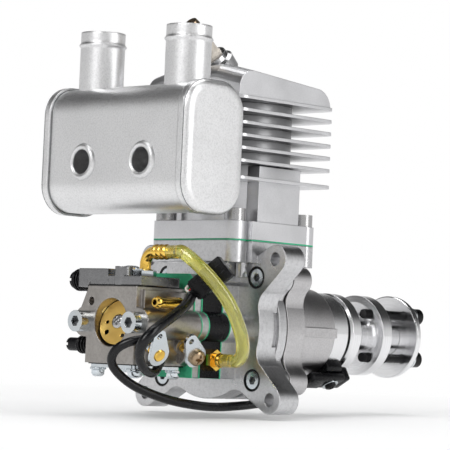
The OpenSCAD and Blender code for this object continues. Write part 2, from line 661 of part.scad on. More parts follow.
// Intake stack
module stack_holes(y0, y1) {
    for (s = [-1, 1]) translate([s * stud_x / 2, 0, 0]) rod_y(m5[0] + hole_c, y0 - 1, y1 + 1);
}
module stack_plate(y0, y1, hw, hz, w, h) difference() {
    along_y(y0, y1) stack2d(hw, hz);
    along_y(y0 - 1, y1 + 1) rounded2d(w, h, 4);
    stack_holes(y0, y1);
}
module intake_gaskets() color(green_c) {
    stack_plate(pad_y - gasket_t, pad_y, stack_half + 0.2, stack_z + 0.2, intake_w, intake_h);
    stack_plate(plate_y1, reed_y0, stack_half + 0.2, stack_z + 0.2, throttle_bore + 2, throttle_bore + 2);
    stack_plate(carb_y1, plate_y0, stack_half + 0.2, stack_z + 0.2, throttle_bore + 2, throttle_bore + 2);
}
module adapter_plate() color(cast_c)
    stack_plate(plate_y0, plate_y1, stack_half, stack_z, throttle_bore + 2, throttle_bore + 2);
// Reed block with its wedge cage, which reaches into the crankcase window
reed_tip = pad_y + 8;
module reed_block() color(black_c) difference() {
    union() {
        along_y(reed_y0, reed_y1) stack2d(stack_half, stack_z);
        rotate([90, 0, 90]) translate([0, 0, -8.5]) linear_extrude(17)
            polygon([[reed_y1 - 0.5, -10.5], [reed_tip, -2], [reed_tip, 2], [reed_y1 - 0.5, 10.5]]);
    }
    rotate([90, 0, 90]) translate([0, 0, -7]) linear_extrude(14)
        polygon([[reed_y0 - 1, -8.5], [reed_y1, -8.5], [reed_tip - 2, -1], [reed_tip - 2, 1], [reed_y1, 8.5],
            [reed_y0 - 1, 8.5]]);
    stack_holes(reed_y0, reed_y1);
    // Windows under the petals
    for (s = [-1, 1]) translate([0, (reed_y1 + reed_tip) / 2 + 0.6, s * 6]) cube([11, 6.5, 7], center = true);
    translate([stack_half - 9, nipple_y, nipple_z]) rotate([0, 90, 0]) cylinder(h = 12, r = 2);
}
reed_slope = atan2(8.5, reed_tip - reed_y1 + 0.5);
module on_reed(s) translate([0, reed_y1 - 0.5, s * 10.5]) rotate([-s * reed_slope, 0, 0]) children();
module reed_petals() color("steelblue") for (s = [-1, 1]) on_reed(s)
    translate([-7.5, 2.5, s > 0 ? 0.02 : -0.32]) cube([15, 12.4, 0.3]);
module reed_screws() color(zinc_c) for (s = [-1, 1], sx = [-1, 1]) on_reed(s)
    translate([sx * 4, 4, s > 0 ? 0.32 : -1.32]) cylinder(h = 1, r = 1.4);

// Carburettor
module at_shaft(y) translate([0, y, 0]) rotate([0, 90 + shaft_slope, 0]) children();
module shaft_boss(y, r) at_shaft(y) translate([0, 0, shaft_far + 1]) cylinder(h = 16.5 - shaft_far, r = r);
module carb_body() color(cast_c) difference() {
    union() {
        translate([-carb_half, carb_y0, carb_bot]) cube([2 * carb_half, carb_len, carb_top - carb_bot]);
        along_y(carb_y0, carb_y1) ears2d(stud_x, ear_r);
        // Rear flange slopes in to the top at the left
        along_y(carb_y0, carb_y0 + 4) polygon([[-18.5, -4], [-18.5, 4], [-13.5, carb_top], [0, carb_top], [0, -4]]);
        along_y(carb_y1 - 4, carb_y1) translate([0, -1]) rounded2d(2 * stack_half, 30, 4);
        // Raised panel on the right side
        translate([carb_half - 1, carb_y0 + 3, 3]) cube([2.6, carb_len - 6, 10]);
        // Bosses of the two shafts
        shaft_boss(choke_y, 4.2);
        shaft_boss(throttle_y, 3.7);
    }
    // Air passage: intake, venturi and throttle bore, each clear of its butterfly
    rod_y(throat_d / 2, carb_y0 - 1, choke_y + 5);
    cone_y(throat_d / 2, venturi_r, choke_y + 4.99, choke_y + 8);
    rod_y(venturi_r, choke_y + 7.9, throttle_y - 5);
    cone_y(venturi_r, throttle_bore / 2, throttle_y - 5.1, throttle_y - 3);
    rod_y(throttle_bore / 2, throttle_y - 3.01, carb_y1 + 1);
    stack_holes(carb_y0, carb_y1);
    for (y = [choke_y, throttle_y]) at_shaft(y) translate([0, 0, -far]) cylinder(h = 2 * far, r = shaft_r + run_c);
    // Vent hole beside the air intake
    translate([-11.7, 0, 8.2]) rod_y(1.6, carb_y0 - 1, carb_y0 + 3);
    // Adjuster and fitting threads
    translate([mix_pos[0] - 6, mix_pos[1], mix_pos[2]]) rotate([0, 90, 0]) cylinder(h = 10, r = 1.5 + run_c);
    translate([carb_half - 4, fuel_pos[1], fuel_pos[2]]) rotate([0, 90, 0]) cylinder(h = 12, r = 2);
    // Pockets under the diaphragms, and the cover screw threads
    translate([-8, carb_y0 + 6, carb_bot - 1]) cube([16, 17, 3]);
    translate([0, 0, carb_bot - 1]) at_metering() cylinder(h = 8, r = 1.5);
    translate([pump_pos[0], pump_pos[1], carb_top - 3]) cylinder(h = 8, r = 2);
}
fuel_pos = [carb_half + 1.6, carb_y0 + 19, 8.3];
pump_pos = [-5.5, carb_y0 + 15];
module at_metering() for (sx = [-1, 1], y = [carb_y0 + 4, carb_y1 - 4]) translate([sx * 10.5, y, 0]) children();
module carb_screws() color(zinc_c) for (s = [-1, 1]) translate([s * stud_x / 2, carb_y0, 0])
    rotate([90, 0, 0]) cap_screw(m5, pad_y - carb_y0 + 7);
module carb_diaphragms() color("black") {
    difference() {
        translate([-carb_half, carb_y0 + 0.5, carb_top]) cube([2 * carb_half, carb_len - 5, dia_t]);
        translate([pump_pos[0], pump_pos[1], carb_top - 1]) cylinder(h = 3, r = 2 + hole_c);
    }
    difference() {
        translate([-carb_half + 1, carb_y0 + 1, carb_bot - dia_t]) cube([2 * carb_half - 2, carb_len - 2, dia_t]);
        translate([0, 0, carb_bot - 1]) at_metering() cylinder(h = 3, r = 1.5 + hole_c);
    }
}
// Pump cover: a plate with a spring housing to the left and a round boss
module pump_cover() color(bright_c) {
    z0 = carb_top + dia_t;
    rear = carb_y0 + 1;
    difference() {
        union() {
            translate([0, 0, z0]) linear_extrude(cover_t) polygon([[-carb_half, rear], [carb_half + 1, rear],
                [carb_half + 1, carb_y1 - 7], [carb_half - 5, carb_y1 - 3], [-carb_half, carb_y1 - 3]]);
            rotate([90, 0, 0]) translate([0, 0, -rear - 16]) linear_extrude(16)
                polygon([[-21, z0 - 1], [-21, z0 + 6.4], [-4, z0 + 6.4], [-4, z0 + 2], [-13.5, z0 + 2], [-16, z0 - 1]]);
            translate([2.5, rear + 2.5, z0]) cylinder(h = cover_t + 3.6, r = 3.5);
        }
        translate([pump_pos[0], pump_pos[1], z0 - 1]) cylinder(h = 12, r = 2 + hole_c);
        translate([-40, idle_pos[1], idle_pos[2]]) rotate([0, 90, 0]) cylinder(h = 35, r = 1.5 + run_c);
        translate([elbow_pos[0], elbow_pos[1], z0 + 1]) cylinder(h = 8, r = 2.3);
    }
}
module pump_screw() color(zinc_c) translate([pump_pos[0], pump_pos[1], carb_top + dia_t + 6.4]) {
    difference() {
        cylinder(h = 1.8, r = 3.4);
        translate([0, 0, 0.8]) cylinder(h = 2, r = 1.3, $fn = 4);
    }
    translate([0, 0, -8]) cylinder(h = 8.01, r = 1.95);
}
module metering_cover() color(bright_c) difference() {
    union() {
        z0 = carb_bot - dia_t;
        translate([0, (carb_y0 + carb_y1) / 2, z0 - 1.3]) linear_extrude(1.3) rounded2d(26.4, carb_len - 2.4, 2.5);
        translate([0, (carb_y0 + carb_y1) / 2, z0 - 2.9]) cylinder(h = 2, r1 = 5.5, r2 = 7.5);
    }
    translate([0, 0, carb_bot - 5]) at_metering() cylinder(h = 6, r = 1.5 + hole_c);
    translate([0, (carb_y0 + carb_y1) / 2, carb_bot - 6]) cylinder(h = 8, r = 1.2);
}
module metering_screws() color(zinc_c) translate([0, 0, carb_bot - dia_t - 1.3]) at_metering() {
    difference() {
        mirror([0, 0, 1]) cylinder(h = 2.2, r = m3[1]);
        translate([0, 0, -2.3]) cylinder(h = 1.4, r = 0.9, $fn = 4);
    }
    cylinder(h = 6.5, r = m3[0] - 0.05);
}
// A carburettor shaft, halved where its butterfly lies on the flat
module flatted_shaft(y, tilt, flat_s) at_shaft(y) difference() {
    translate([0, 0, shaft_far]) cylinder(h = lever_s - shaft_far, r = shaft_r);
    rotate([0, 0, tilt]) translate([-shaft_r - 1, -shaft_r - 1, -flat_s]) cube([2 * shaft_r + 2, shaft_r + 1, 2 * flat_s]);
    rotate([0, 0, tilt]) rotate([90, 0, 0]) translate([0, 0, -5]) cylinder(h = 10, r = 1);
}
module lever(y, lever_a) at_shaft(y) translate([0, 0, lever_s]) rotate([0, 0, lever_a]) linear_extrude(lever_t)
    difference() {
        bar2d([0, 0], 4.6, [-lever_arm, 0], 2.8);
        translate([-lever_arm, 0]) circle(1.2);
    }
module butterfly(y, tilt, r) at_shaft(y) rotate([0, 0, tilt]) rotate([90, 0, 0]) difference() {
    cylinder(h = plate_t, r = r);
    cylinder(h = 3, r = 1, center = true);
}
module plate_screw(y, tilt) at_shaft(y) rotate([0, 0, tilt]) rotate([90, 0, 0]) {
    translate([0, 0, plate_t]) difference() {
        cylinder(h = 1.5, r = 2.6);
        translate([0, 0, 0.7]) cylinder(h = 1, r = 1, $fn = 4);
    }
    translate([0, 0, -shaft_r]) cylinder(h = shaft_r + plate_t + 0.01, r = 0.95);
}
choke_lever_a = 25;
throttle_lever_a = 42;
module choke_shaft() {
    color(brass_c) flatted_shaft(choke_y, choke_tilt, throat_d / 2);
    color(zinc_c) lever(choke_y, choke_lever_a);
    color(brass_c) at_shaft(choke_y) translate([0, 0, lever_s + lever_t]) rotate([0, 0, 30])
        linear_extrude(0.4) rounded2d(4.2, 3, 1.2);
}
module choke_plate() color(brass_c) difference() {
    butterfly(choke_y, choke_tilt, throat_d / 2 - 0.15);
    for (p = [[-4.5, -3.6], [4.5, -4.4], [-2.6, -6.2]]) at_shaft(choke_y) rotate([0, 0, choke_tilt])
        rotate([90, 0, 0]) translate([p[1], p[0], -2]) cylinder(h = 4, r = 1.05);
}
module choke_screw() color(zinc_c) plate_screw(choke_y, choke_tilt);
module throttle_shaft() {
    color(brass_c) flatted_shaft(throttle_y, throttle_tilt, throttle_bore / 2);
    color(zinc_c) lever(throttle_y, throttle_lever_a);
}
module throttle_plate() color(brass_c) butterfly(throttle_y, throttle_tilt, throttle_bore / 2 - 0.12);
module throttle_screws() color("rosybrown") {
    plate_screw(throttle_y, throttle_tilt);
    at_shaft(throttle_y) translate([0, 0, lever_s + lever_t]) difference() {
        cylinder(h = 1.8, r = 3.2);
        translate([0, 0, 0.9]) cylinder(h = 1.2, r = 1.5, $fn = 4);
    }
}

// Spring-loaded adjusting screws on the left
module idle_screw() color(black_c) translate(idle_pos) rotate([0, -90, 0]) {
    difference() {
        translate([0, 0, 6]) cylinder(h = 7, r = 3.6);
        translate([-0.5, -5, 12]) cube([1, 10, 2]);
    }
    translate([0, 0, -12]) cylinder(h = 18.01, r = 1.5);
}
module mixture_screw() color(black_c) translate(mix_pos) rotate([0, -90, 0]) {
    difference() {
        translate([0, 0, 8]) cylinder(h = 11.5, r = 2.7);
        translate([-0.5, -4, 18.5]) cube([1, 8, 2]);
    }
    translate([0, 0, -4]) cylinder(h = 12.01, r = 1.5);
}
module adjuster_springs() color(black_c) {
    for (i = [0 : 4]) translate([idle_pos[0] - 0.6 - i * 1.1, idle_pos[1], idle_pos[2]]) rotate([0, 90, 0])
        rotate_extrude() translate([2.6, 0]) circle(0.5);
    for (i = [0 : 4]) translate([mix_pos[0] - 1 - i * 1.5, mix_pos[1], mix_pos[2]]) rotate([0, 90, 0])
        rotate_extrude() translate([2.3, 0]) circle(0.5);
}

// Brass fittings
module fuel_elbow() color(brass_c) {
    difference() {
        union() {
            translate(fuel_pos) rotate([0, 90, 0]) cylinder(h = 3.5, r = 2.6);
            translate([fuel_pos[0] - 4, fuel_pos[1], fuel_pos[2]]) rotate([0, 90, 0]) cylinder(h = 4.5, r = 1.95);
            translate([fuel_pos[0] + 4.2, 0, fuel_pos[2]]) revolve_y() polygon([[0, fuel_pos[1] - 14.5],
                [1.8, fuel_pos[1] - 14.5], [2.4, fuel_pos[1] - 12.6], [1.8, fuel_pos[1] - 12.2],
                [1.8, fuel_pos[1] + 2.4], [0, fuel_pos[1] + 2.4]]);
        }
        translate([fuel_pos[0] + 4.2, 0, fuel_pos[2]]) rod_y(1.1, fuel_pos[1] - 15, fuel_pos[1] + 1);
    }
}
module pulse_elbow() {
    x0 = elbow_pos[0];
    y0 = elbow_pos[1];
    z0 = carb_top + dia_t + cover_t;
    color(zinc_c) translate([x0, y0, z0]) difference() {
        cylinder(h = 3, r = 4.4, $fn = 6);
        translate([0, 0, -1]) cylinder(h = 6, r = 2.2);
    }
    color(brass_c) difference() {
        union() {
            translate([x0, y0, z0 - 2.5]) cylinder(h = elbow_top - z0 + 2.5, r = 2.2);
            translate([x0, y0, elbow_top]) sphere(2.4);
            translate([x0, y0, elbow_top]) rotate([0, 90, 0]) rotate_extrude() polygon([[0, 0], [2.4, 0],
                [2.4, 3], [3.1, 4.4], [2.6, 5.6], [2.6, 7.2], [3.1, 8.6], [2.6, 9.8], [2.6, 12.4], [barb_r, 12.6],
                [barb_r, elbow_tip - x0], [0, elbow_tip - x0]]);
        }
        translate([x0, y0, elbow_top]) rotate([0, 90, 0]) cylinder(h = 20, r = 1.1);
    }
}
module pulse_nipple() color(brass_c) translate([stack_half, nipple_y, nipple_z]) rotate([0, 90, 0]) difference() {
    union() {
        cylinder(h = 4, r = 4.3, $fn = 6);
        translate([0, 0, -6]) cylinder(h = 6.01, r = 1.95);
        rotate_extrude() polygon([[0, 0], [2.6, 0], [2.6, 4.8], [2.9, 5.6], [2.9, 6.4], [2.6, 7.2],
            [barb_r, 7.4], [barb_r, nipple_tip - stack_half], [0, nipple_tip - stack_half]]);
    }
    translate([0, 0, -7]) cylinder(h = 30, r = 1.1);
}
// Hose between the pulse elbow and the nipple, its two ends pushed square over the barbs
module hose_end(tip, cover) translate([0, 0, tip - cover]) difference() {
    cylinder(h = cover + 0.7, r = hose_r + 0.05);
    translate([0, 0, -1]) cylinder(h = cover + 1.02, r = barb_r);
}
module pulse_hose() color("khaki") {
    sweep(hose_pts, 4, hose_r, 12);
    translate([0, elbow_pos[1], elbow_top]) rotate([0, 90, 0]) hose_end(elbow_tip, 4);
    translate([0, nipple_y, nipple_z]) rotate([0, 90, 0]) hose_end(nipple_tip, 3.6);
}

// Crankshaft with one web, counterweight below the crankpin
module crankshaft() color(bright_c) difference() {
    union() {
        along_y(web_y0, web_y1) intersection() {
            circle(chamber_r - 2);
            union() {
                translate([-chamber_r, -chamber_r]) square([2 * chamber_r, chamber_r + 2]);
                bar2d([0, 0], 13, [0, crank_r], 7.9);
            }
        }
        rod_y(shaft_d / 2 + 2.8, web_y0 + 1, brg1_y0 - 0.1);
        rod_y(shaft_d / 2 - run_c, brg1_y0 - 0.2, brg2_y0 - 0.4);
        rod_y(shaft_front_d / 2 - run_c, brg2_y0 - 1, hub_y3 - 2);
        rod_y(4, hub_y3 - 3, hub_y3 + 6);
    }
    translate([0, 0, crank_r]) rod_y(pin_d / 2, web_y0 - 1, web_y1 + 1);
}
module crankpin() color(bright_c) translate([0, 0, crank_r]) rod_y(pin_d / 2 - 0.5, rod_y0 - 1.5, rod_y1);
module connecting_rod() color("slategray") difference() {
    union() {
        translate([0, 0, crank_r]) rod_y(8.8, rod_y0, rod_y1);
        translate([0, 0, crank_r + rod_len]) rod_y(7, cyl_y - 4.5, cyl_y + 4.5);
        along_y(cyl_y - 2.5, cyl_y + 2.5) polygon([[-6.5, crank_r + 4], [6.5, crank_r + 4],
            [4.6, crank_r + rod_len - 4], [-4.6, crank_r + rod_len - 4]]);
    }
    translate([0, 0, crank_r]) rod_y(pin_d / 2 + 1.5, 0, 30);
    translate([0, 0, crank_r + rod_len]) rod_y(wrist_d / 2 + 1.2, 0, 30);
    // Recess in each side of the shank
    for (y = [cyl_y - 4, cyl_y + 1.2]) along_y(y, y + 2.8) polygon([[-3.4, crank_r + 12], [3.4, crank_r + 12],
        [2.5, crank_r + rod_len - 10], [-2.5, crank_r + rod_len - 10]]);
}
// Caged needle bearings in both ends of the rod
module rod_bearings() color(zinc_c) {
    translate([0, 0, crank_r]) revolve_y() translate([pin_d / 2 - 0.5, rod_y0 + 0.3]) square([2, rod_w - 0.6]);
    translate([0, 0, crank_r + rod_len]) revolve_y() translate([wrist_d / 2, cyl_y - 4.2]) square([1.2, 8.4]);
}
module wrist_pin() color(bright_c) translate([0, 0, crank_r + rod_len]) difference() {
    rod_y(wrist_d / 2, cyl_y - bore_r + 3, cyl_y + bore_r - 3);
    rod_y(wrist_d / 2 - 2.2, cyl_y - bore_r, cyl_y + bore_r);
}
piston_r = bore_r - 0.08;
ring_z = [crown_z - 3.2, crown_z - 6.4];
module piston() color(cast_c) {
    pin_z = crank_r + rod_len;
    difference() {
        translate([0, cyl_y, pin_z - skirt_h]) cylinder(h = crown_h + skirt_h, r = piston_r);
        difference() {
            translate([0, cyl_y, pin_z - skirt_h - 1]) cylinder(h = crown_h + skirt_h - 3.4, r = piston_r - 2.4);
            for (s = [-1, 1]) translate([0, cyl_y + s * 12, pin_z]) rod_y(7.5, -6, 6);
        }
        translate([0, 0, pin_z]) rod_y(wrist_d / 2, cyl_y - bore_r, cyl_y + bore_r);
        for (z = ring_z) translate([0, cyl_y, z]) difference() {
            cylinder(h = 1.2, r = piston_r + 1);
            translate([0, 0, -1]) cylinder(h = 4, r = piston_r - 1.6);
        }
    }
}
module piston_rings() color(black_c) for (z = ring_z) translate([0, cyl_y, z + 0.03]) difference() {
    cylinder(h = 1.14, r = bore_r - 0.03);
    translate([0, 0, -1]) cylinder(h = 4, r = piston_r - 1.5);
    translate([bore_r - 3, -0.2, -1]) cube([6, 0.4, 4]);
}

// Ball bearings: outer race, inner race and balls
module ball_bearing(ri, ro, w, y0, balls) {
    rm = (ri + ro) / 2;
    rb = (ro - ri) * 0.27;
    difference() {
        rod_y(ro, y0, y0 + w);
        rod_y(rm + rb * 0.55, y0 - 1, y0 + w + 1);
        revolve_y() translate([rm, y0 + w / 2]) circle(rb + run_c);
    }
    difference() {
        rod_y(rm - rb * 0.55, y0, y0 + w);
        rod_y(ri, y0 - 1, y0 + w + 1);
        revolve_y() translate([rm, y0 + w / 2]) circle(rb + run_c);
    }
    for (i = [0 : balls - 1]) rotate([0, 360 * i / balls, 0]) translate([rm, y0 + w / 2, 0]) sphere(rb, $fn = 24);
}
module shaft_bearings() color(bright_c) {
    ball_bearing(shaft_d / 2, brg1_r, brg1_w, brg1_y0, 8);
    ball_bearing(shaft_front_d / 2, brg2_r, brg2_w, brg2_y0, 8);
}
module shaft_seal() color("black") difference() {
    rod_y(brg2_r, ring_y - seal_w - 0.3, ring_y - 0.3);
    rod_y(shaft_front_d / 2 + 0.02, 0, ring_y);
    revolve_y() polygon([[shaft_front_d / 2 + 1.2, ring_y - 1.6], [brg2_r - 1.6, ring_y - 1.6], [brg2_r - 1.2, ring_y],
        [shaft_front_d / 2 + 0.8, ring_y]]);
}

// Propeller hub and what rides on it
module at_prop_bolts() for (a = [45 : 90 : 315]) rotate([0, a, 0]) translate([prop_pcd / 2, 0, 0]) children();
magnet_a = 60;
module prop_hub() color(bright_c) difference() {
    revolve_y() polygon([[shaft_front_d / 2, hub_y0], [hub_r - 1, hub_y0], [hub_r, hub_y0 + 0.8], [hub_r, hub_y1 - 0.4],
        [hub_r - 0.4, hub_y1], [12.4, hub_y1], [9.9, hub_y1 + 3], [9.9, hub_y2 - 4.5], [9.2, hub_y2 - 3.5],
        [9.2, hub_y2], [hub_r - 2.8, hub_y2], [hub_r, hub_y2 + 0.9], [hub_r, hub_y3 - 0.4], [hub_r - 0.4, hub_y3],
        [boss_r, hub_y3], [boss_r, washer_y1 - 0.6], [boss_r - 0.6, washer_y1], [4.4, washer_y1], [4.4, hub_y3 - 1.6],
        [shaft_front_d / 2, hub_y3 - 1.6]]);
    at_prop_bolts() rod_y(prop_bolt_r + 0.1, hub_y2 - 1, hub_y3 + 1);
    rotate([0, magnet_a, 0]) translate([hub_r - 3, (hub_y0 + hub_y1) / 2, 0]) rotate([0, 90, 0]) cylinder(h = 5, r = 1.5);
}
module hub_magnet() color(bright_c) rotate([0, magnet_a, 0]) translate([hub_r - 3, (hub_y0 + hub_y1) / 2, 0])
    rotate([0, 90, 0]) cylinder(h = 2.9, r = 1.5);
module front_washer() color(bright_c) difference() {
    revolve_y() polygon([[boss_r + 0.1, washer_y0], [washer_r - 0.4, washer_y0], [washer_r, washer_y0 + 0.4],
        [washer_r, washer_y1 - 0.4], [washer_r - 0.4, washer_y1], [boss_r + 0.1, washer_y1]]);
    at_prop_bolts() rod_y(prop_bolt_r + 0.1, washer_y0 - 1, washer_y1 + 1);
}
// Black screws, each with two zinc washers under its head
module prop_bolts() {
    head_y = washer_y1 + 2 * lockwasher_t;
    color("black") at_prop_bolts() translate([0, head_y, 0]) rotate([-90, 0, 0]) cap_screw(m4, head_y - prop_bolt_end);
    color(zinc_c) at_prop_bolts() difference() {
        union() {
            rod_y(m4[1] + 0.5, washer_y1, washer_y1 + lockwasher_t - 0.1);
            rod_y(m4[1] + 0.2, washer_y1 + lockwasher_t - 0.2, head_y);
        }
        rod_y(prop_bolt_r - 0.05, 0, head_y + 1);
    }
}

// Ignition sensor under the hub's rear disc
module at_sensor() rotate([0, -sensor_turn, 0]) children();
module at_sensor_screw() at_sensor() translate([0, nose_y + ring_len / 2, 0]) mirror([0, 0, 1]) children();
module sensor_holder() color("black") difference() {
    at_sensor() translate([-holder_w / 2, nose_y + 0.2, -sensor_in]) cube([holder_w, ring_len - 0.4, sensor_in - 14]);
    rod_y(ring_r, 0, hub_y0);
    at_sensor_screw() cylinder(h = far, r = sensor_screw_r);
}
module sensor() {
    color("black") at_sensor() difference() {
        union() {
            translate([-sensor_w / 2, sensor_y0, -sensor_out])
                cube([sensor_w, sensor_y1 - sensor_y0, sensor_out - sensor_in]);
            translate([-sensor_w / 2, ring_y + 0.1, -sensor_out + 0.5])
                cube([sensor_w, holder_front - ring_y - 0.1, sensor_out - 0.5 - hub_r - 0.6]);
        }
        translate([0, nose_y + ring_len / 2, -far]) cylinder(h = far, r = sensor_screw_r);
    }
    color(zinc_c) at_sensor_screw() {
        translate([0, 0, sensor_out]) cylinder(h = 1.6, r = 2.4);
        translate([0, 0, ring_r + 0.3]) cylinder(h = sensor_out - ring_r, r = sensor_screw_r);
    }
}
module sensor_cable() color("black") sweep(cable_pts, 3, cable_r, 10);
module cable_connector() color("black") translate(cable_pts[len(cable_pts) - 1])
    rotate([0, 0, conn_turn]) rotate([0, -conn_rise, 0]) union() {
        translate([0.2, -conn_t / 2, -conn_w / 2]) cube([8, conn_t, conn_w]);
        translate([7.8, -conn_t / 2 - 0.5, -conn_w / 2 - 0.5]) cube([conn_len - 7.8, conn_t + 1, conn_w + 1]);
    }

crankcase();
front_housing();
housing_gasket();
case_screws();
cylinder_block();
base_gasket();
base_screws();
plug_shell();
plug_insulator();
plug_terminal();
plug_washer();
exhaust_gasket();
exhaust_screws();
muffler_shell();
muffler_caps();
muffler_flange();
outlet_tubes();
access_tubes();
intake_gaskets();
adapter_plate();
reed_block();
reed_petals();
reed_screws();
carb_body();
carb_screws();
pump_cover();
pump_screw();
carb_diaphragms();
metering_cover();
metering_screws();
choke_shaft();
choke_plate();
choke_screw();
throttle_shaft();
throttle_plate();
throttle_screws();
idle_screw();
mixture_screw();
adjuster_springs();
fuel_elbow();
pulse_elbow();
pulse_nipple();
pulse_hose();
crankshaft();
crankpin();
connecting_rod();
rod_bearings();
wrist_pin();
piston();
piston_rings();
shaft_bearings();
shaft_seal();
prop_hub();
hub_magnet();
front_washer();
prop_bolts();
sensor();
sensor_holder();
sensor_cable();
cable_connector();
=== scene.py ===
import bpy
import bmesh
import json
import math
from mathutils import Matrix, Vector


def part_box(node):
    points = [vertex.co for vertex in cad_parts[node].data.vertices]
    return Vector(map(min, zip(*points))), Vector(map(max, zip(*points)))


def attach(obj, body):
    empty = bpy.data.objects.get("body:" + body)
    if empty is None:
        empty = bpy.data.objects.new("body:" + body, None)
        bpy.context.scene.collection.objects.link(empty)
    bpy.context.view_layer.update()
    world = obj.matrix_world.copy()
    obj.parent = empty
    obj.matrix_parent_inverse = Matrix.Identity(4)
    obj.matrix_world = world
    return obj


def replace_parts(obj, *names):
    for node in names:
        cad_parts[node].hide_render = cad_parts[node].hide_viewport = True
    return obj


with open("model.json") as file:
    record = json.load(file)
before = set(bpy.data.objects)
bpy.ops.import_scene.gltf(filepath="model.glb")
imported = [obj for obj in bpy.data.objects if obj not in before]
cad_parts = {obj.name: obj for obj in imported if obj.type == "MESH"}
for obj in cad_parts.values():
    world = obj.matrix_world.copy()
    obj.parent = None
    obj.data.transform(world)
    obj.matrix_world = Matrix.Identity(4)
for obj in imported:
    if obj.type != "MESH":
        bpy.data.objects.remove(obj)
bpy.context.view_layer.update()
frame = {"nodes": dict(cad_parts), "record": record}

# Sizes shared with the solids, in millimetres
MM = 0.001
CYL_Y = 12.3
HOUSING_RING_Y = 56.55
BOLT_CIRCLE_R = 13.25
BOLT_TIP_Y = 84.3
FRONT_WASHER_Y = 113.5
CARB_REAR = -54.0
CHOKE_Y = CARB_REAR + 5.2
THROTTLE_Y = CARB_REAR + 25.2
SHAFT_SLOPE = math.radians(28)
LID_GASKET = 0.4
METERING_SEAT = -16.2 - LID_GASKET - 1.3
ELBOW_SEAT = 14.3 + LID_GASKET + 3.7
METERING_SCREWS = [(sx * 10.5, y) for sx in (-1, 1) for y in (CARB_REAR + 4, CARB_REAR + 25)]
CASE_SCREWS = [(sx * 26, sz * 20.6) for sx in (-1, 1) for sz in (-1, 1)]

# Directions
LEFT, RIGHT = (-1, 0, 0), (1, 0, 0)
REAR, FRONT = (0, -1, 0), (0, 1, 0)
DOWN, UP = (0, 0, -1), (0, 0, 1)
SHAFT = Vector((math.cos(SHAFT_SLOPE), 0, -math.sin(SHAFT_SLOPE)))
ACROSS_SHAFT = Vector((-math.sin(SHAFT_SLOPE), 0, -math.cos(SHAFT_SLOPE)))


def mm(*p):
    """A point given in millimetres."""
    return Vector(p) * MM


def add_object(name, data):
    obj = bpy.data.objects.new(name, data)
    bpy.context.scene.collection.objects.link(obj)
    return obj


# Camera at the photograph's angle
def place_camera(spot, azimuth, elevation, roll, lens):
    """The scene's camera, looking along the given angles in degrees."""
    a, e, r = (math.radians(x) for x in (azimuth, elevation, roll))
    back = Vector((math.sin(a) * math.cos(e), -math.cos(a) * math.cos(e), math.sin(e)))
    right = Vector((math.cos(a), math.sin(a), 0))
    up = back.cross(right)
    side = math.cos(r) * right + math.sin(r) * up
    top = -math.sin(r) * right + math.cos(r) * up
    data = bpy.data.cameras.new("photo_camera")
    data.sensor_width = 36
    data.lens = lens
    data.clip_start = 0.01
    data.clip_end = 20
    cam = add_object("photo_camera", data)
    turn = Matrix((side, top, back)).transposed()
    cam.matrix_world = Matrix.Translation(spot) @ turn.to_4x4()
    bpy.context.scene.camera = cam


place_camera(mm(676.7, -670.4, -9.8), azimuth=44.97, elevation=-3.12, roll=2.53, lens=186.4)


# Curves through points, for cables, hoses and springs
def smooth_line(points, steps):
    """A smooth line through the points, with so many steps from each to the next."""
    out = []
    last = len(points) - 1
    for i in range(last * steps + 1):
        k = min(i // steps, last - 1)
        t = i / steps - k
        p0, p1 = points[max(k - 1, 0)], points[k]
        p2, p3 = points[k + 1], points[min(k + 2, last)]
        out.append(0.5 * (2 * p1 + (p2 - p0) * t + (2 * p0 - 5 * p1 + 4 * p2 - p3) * t * t
                          + (3 * p1 - p0 - 3 * p2 + p3) * t * t * t))
    return out


def length_of(line):
    return sum((b - a).length for a, b in zip(line, line[1:]))


def add_line(data, line, radius):
    """One more round wire in a curve. The radius is kept on its points."""
    spline = data.splines.new("POLY")
    spline.points.add(len(line) - 1)
    for point, p in zip(spline.points, line):
        point.co = (*p, 1)
        point.radius = radius


def tube(name, line, radius, sides=24):
    """A round tube, as a curve with closed ends."""
    data = bpy.data.curves.new(name, "CURVE")
    data.dimensions = "3D"
    data.bevel_depth = 1.0
    data.bevel_resolution = sides // 4 - 1
    data.use_fill_caps = True
    add_line(data, line, radius)
    return add_object(name, data)


# Sensor cable, the one free cord
CABLE_R = 1.8 * MM
CABLE_STEPS = 8
cable_points = [mm(*p) for p in (
    (11.5, 47, -19.9), (12, 40, -22.2), (13, 33, -26), (13.6, 26, -29), (15.5, 17, -29.9),
    (17, 5, -31), (18, -12, -31.8), (18, -26, -31), (17, -39, -29), (14.7, -52, -25),
    (13, -60, -20.2), (12, -63.5, -15.5), (14, -63.6, -11), (18, -61, -7.8), (21.8, -56, -6.3),
    (21.8, -49, -6.1), (19.4, -43.2, -8.2), (17.2, -42, -13), (17.6, -44.8, -17.8),
    (20.2, -50, -19.2), (22.8, -56.6, -17.2), (25.4, -61.6, -12.4), (28.8, -63, -7.6),
    (30.2, -59, -2.8), (28.8, -49, 2.6), (27, -40.6, 6.8), (24.7, -35, 10.7), (20.4, -30, 12.8))]
cable_line = smooth_line(cable_points, CABLE_STEPS)
cable_end = cable_points[-1]
cable = tube("cable_sheath", cable_line, CABLE_R)
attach(cable, "engine")
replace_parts(cable, "sensor_cable")

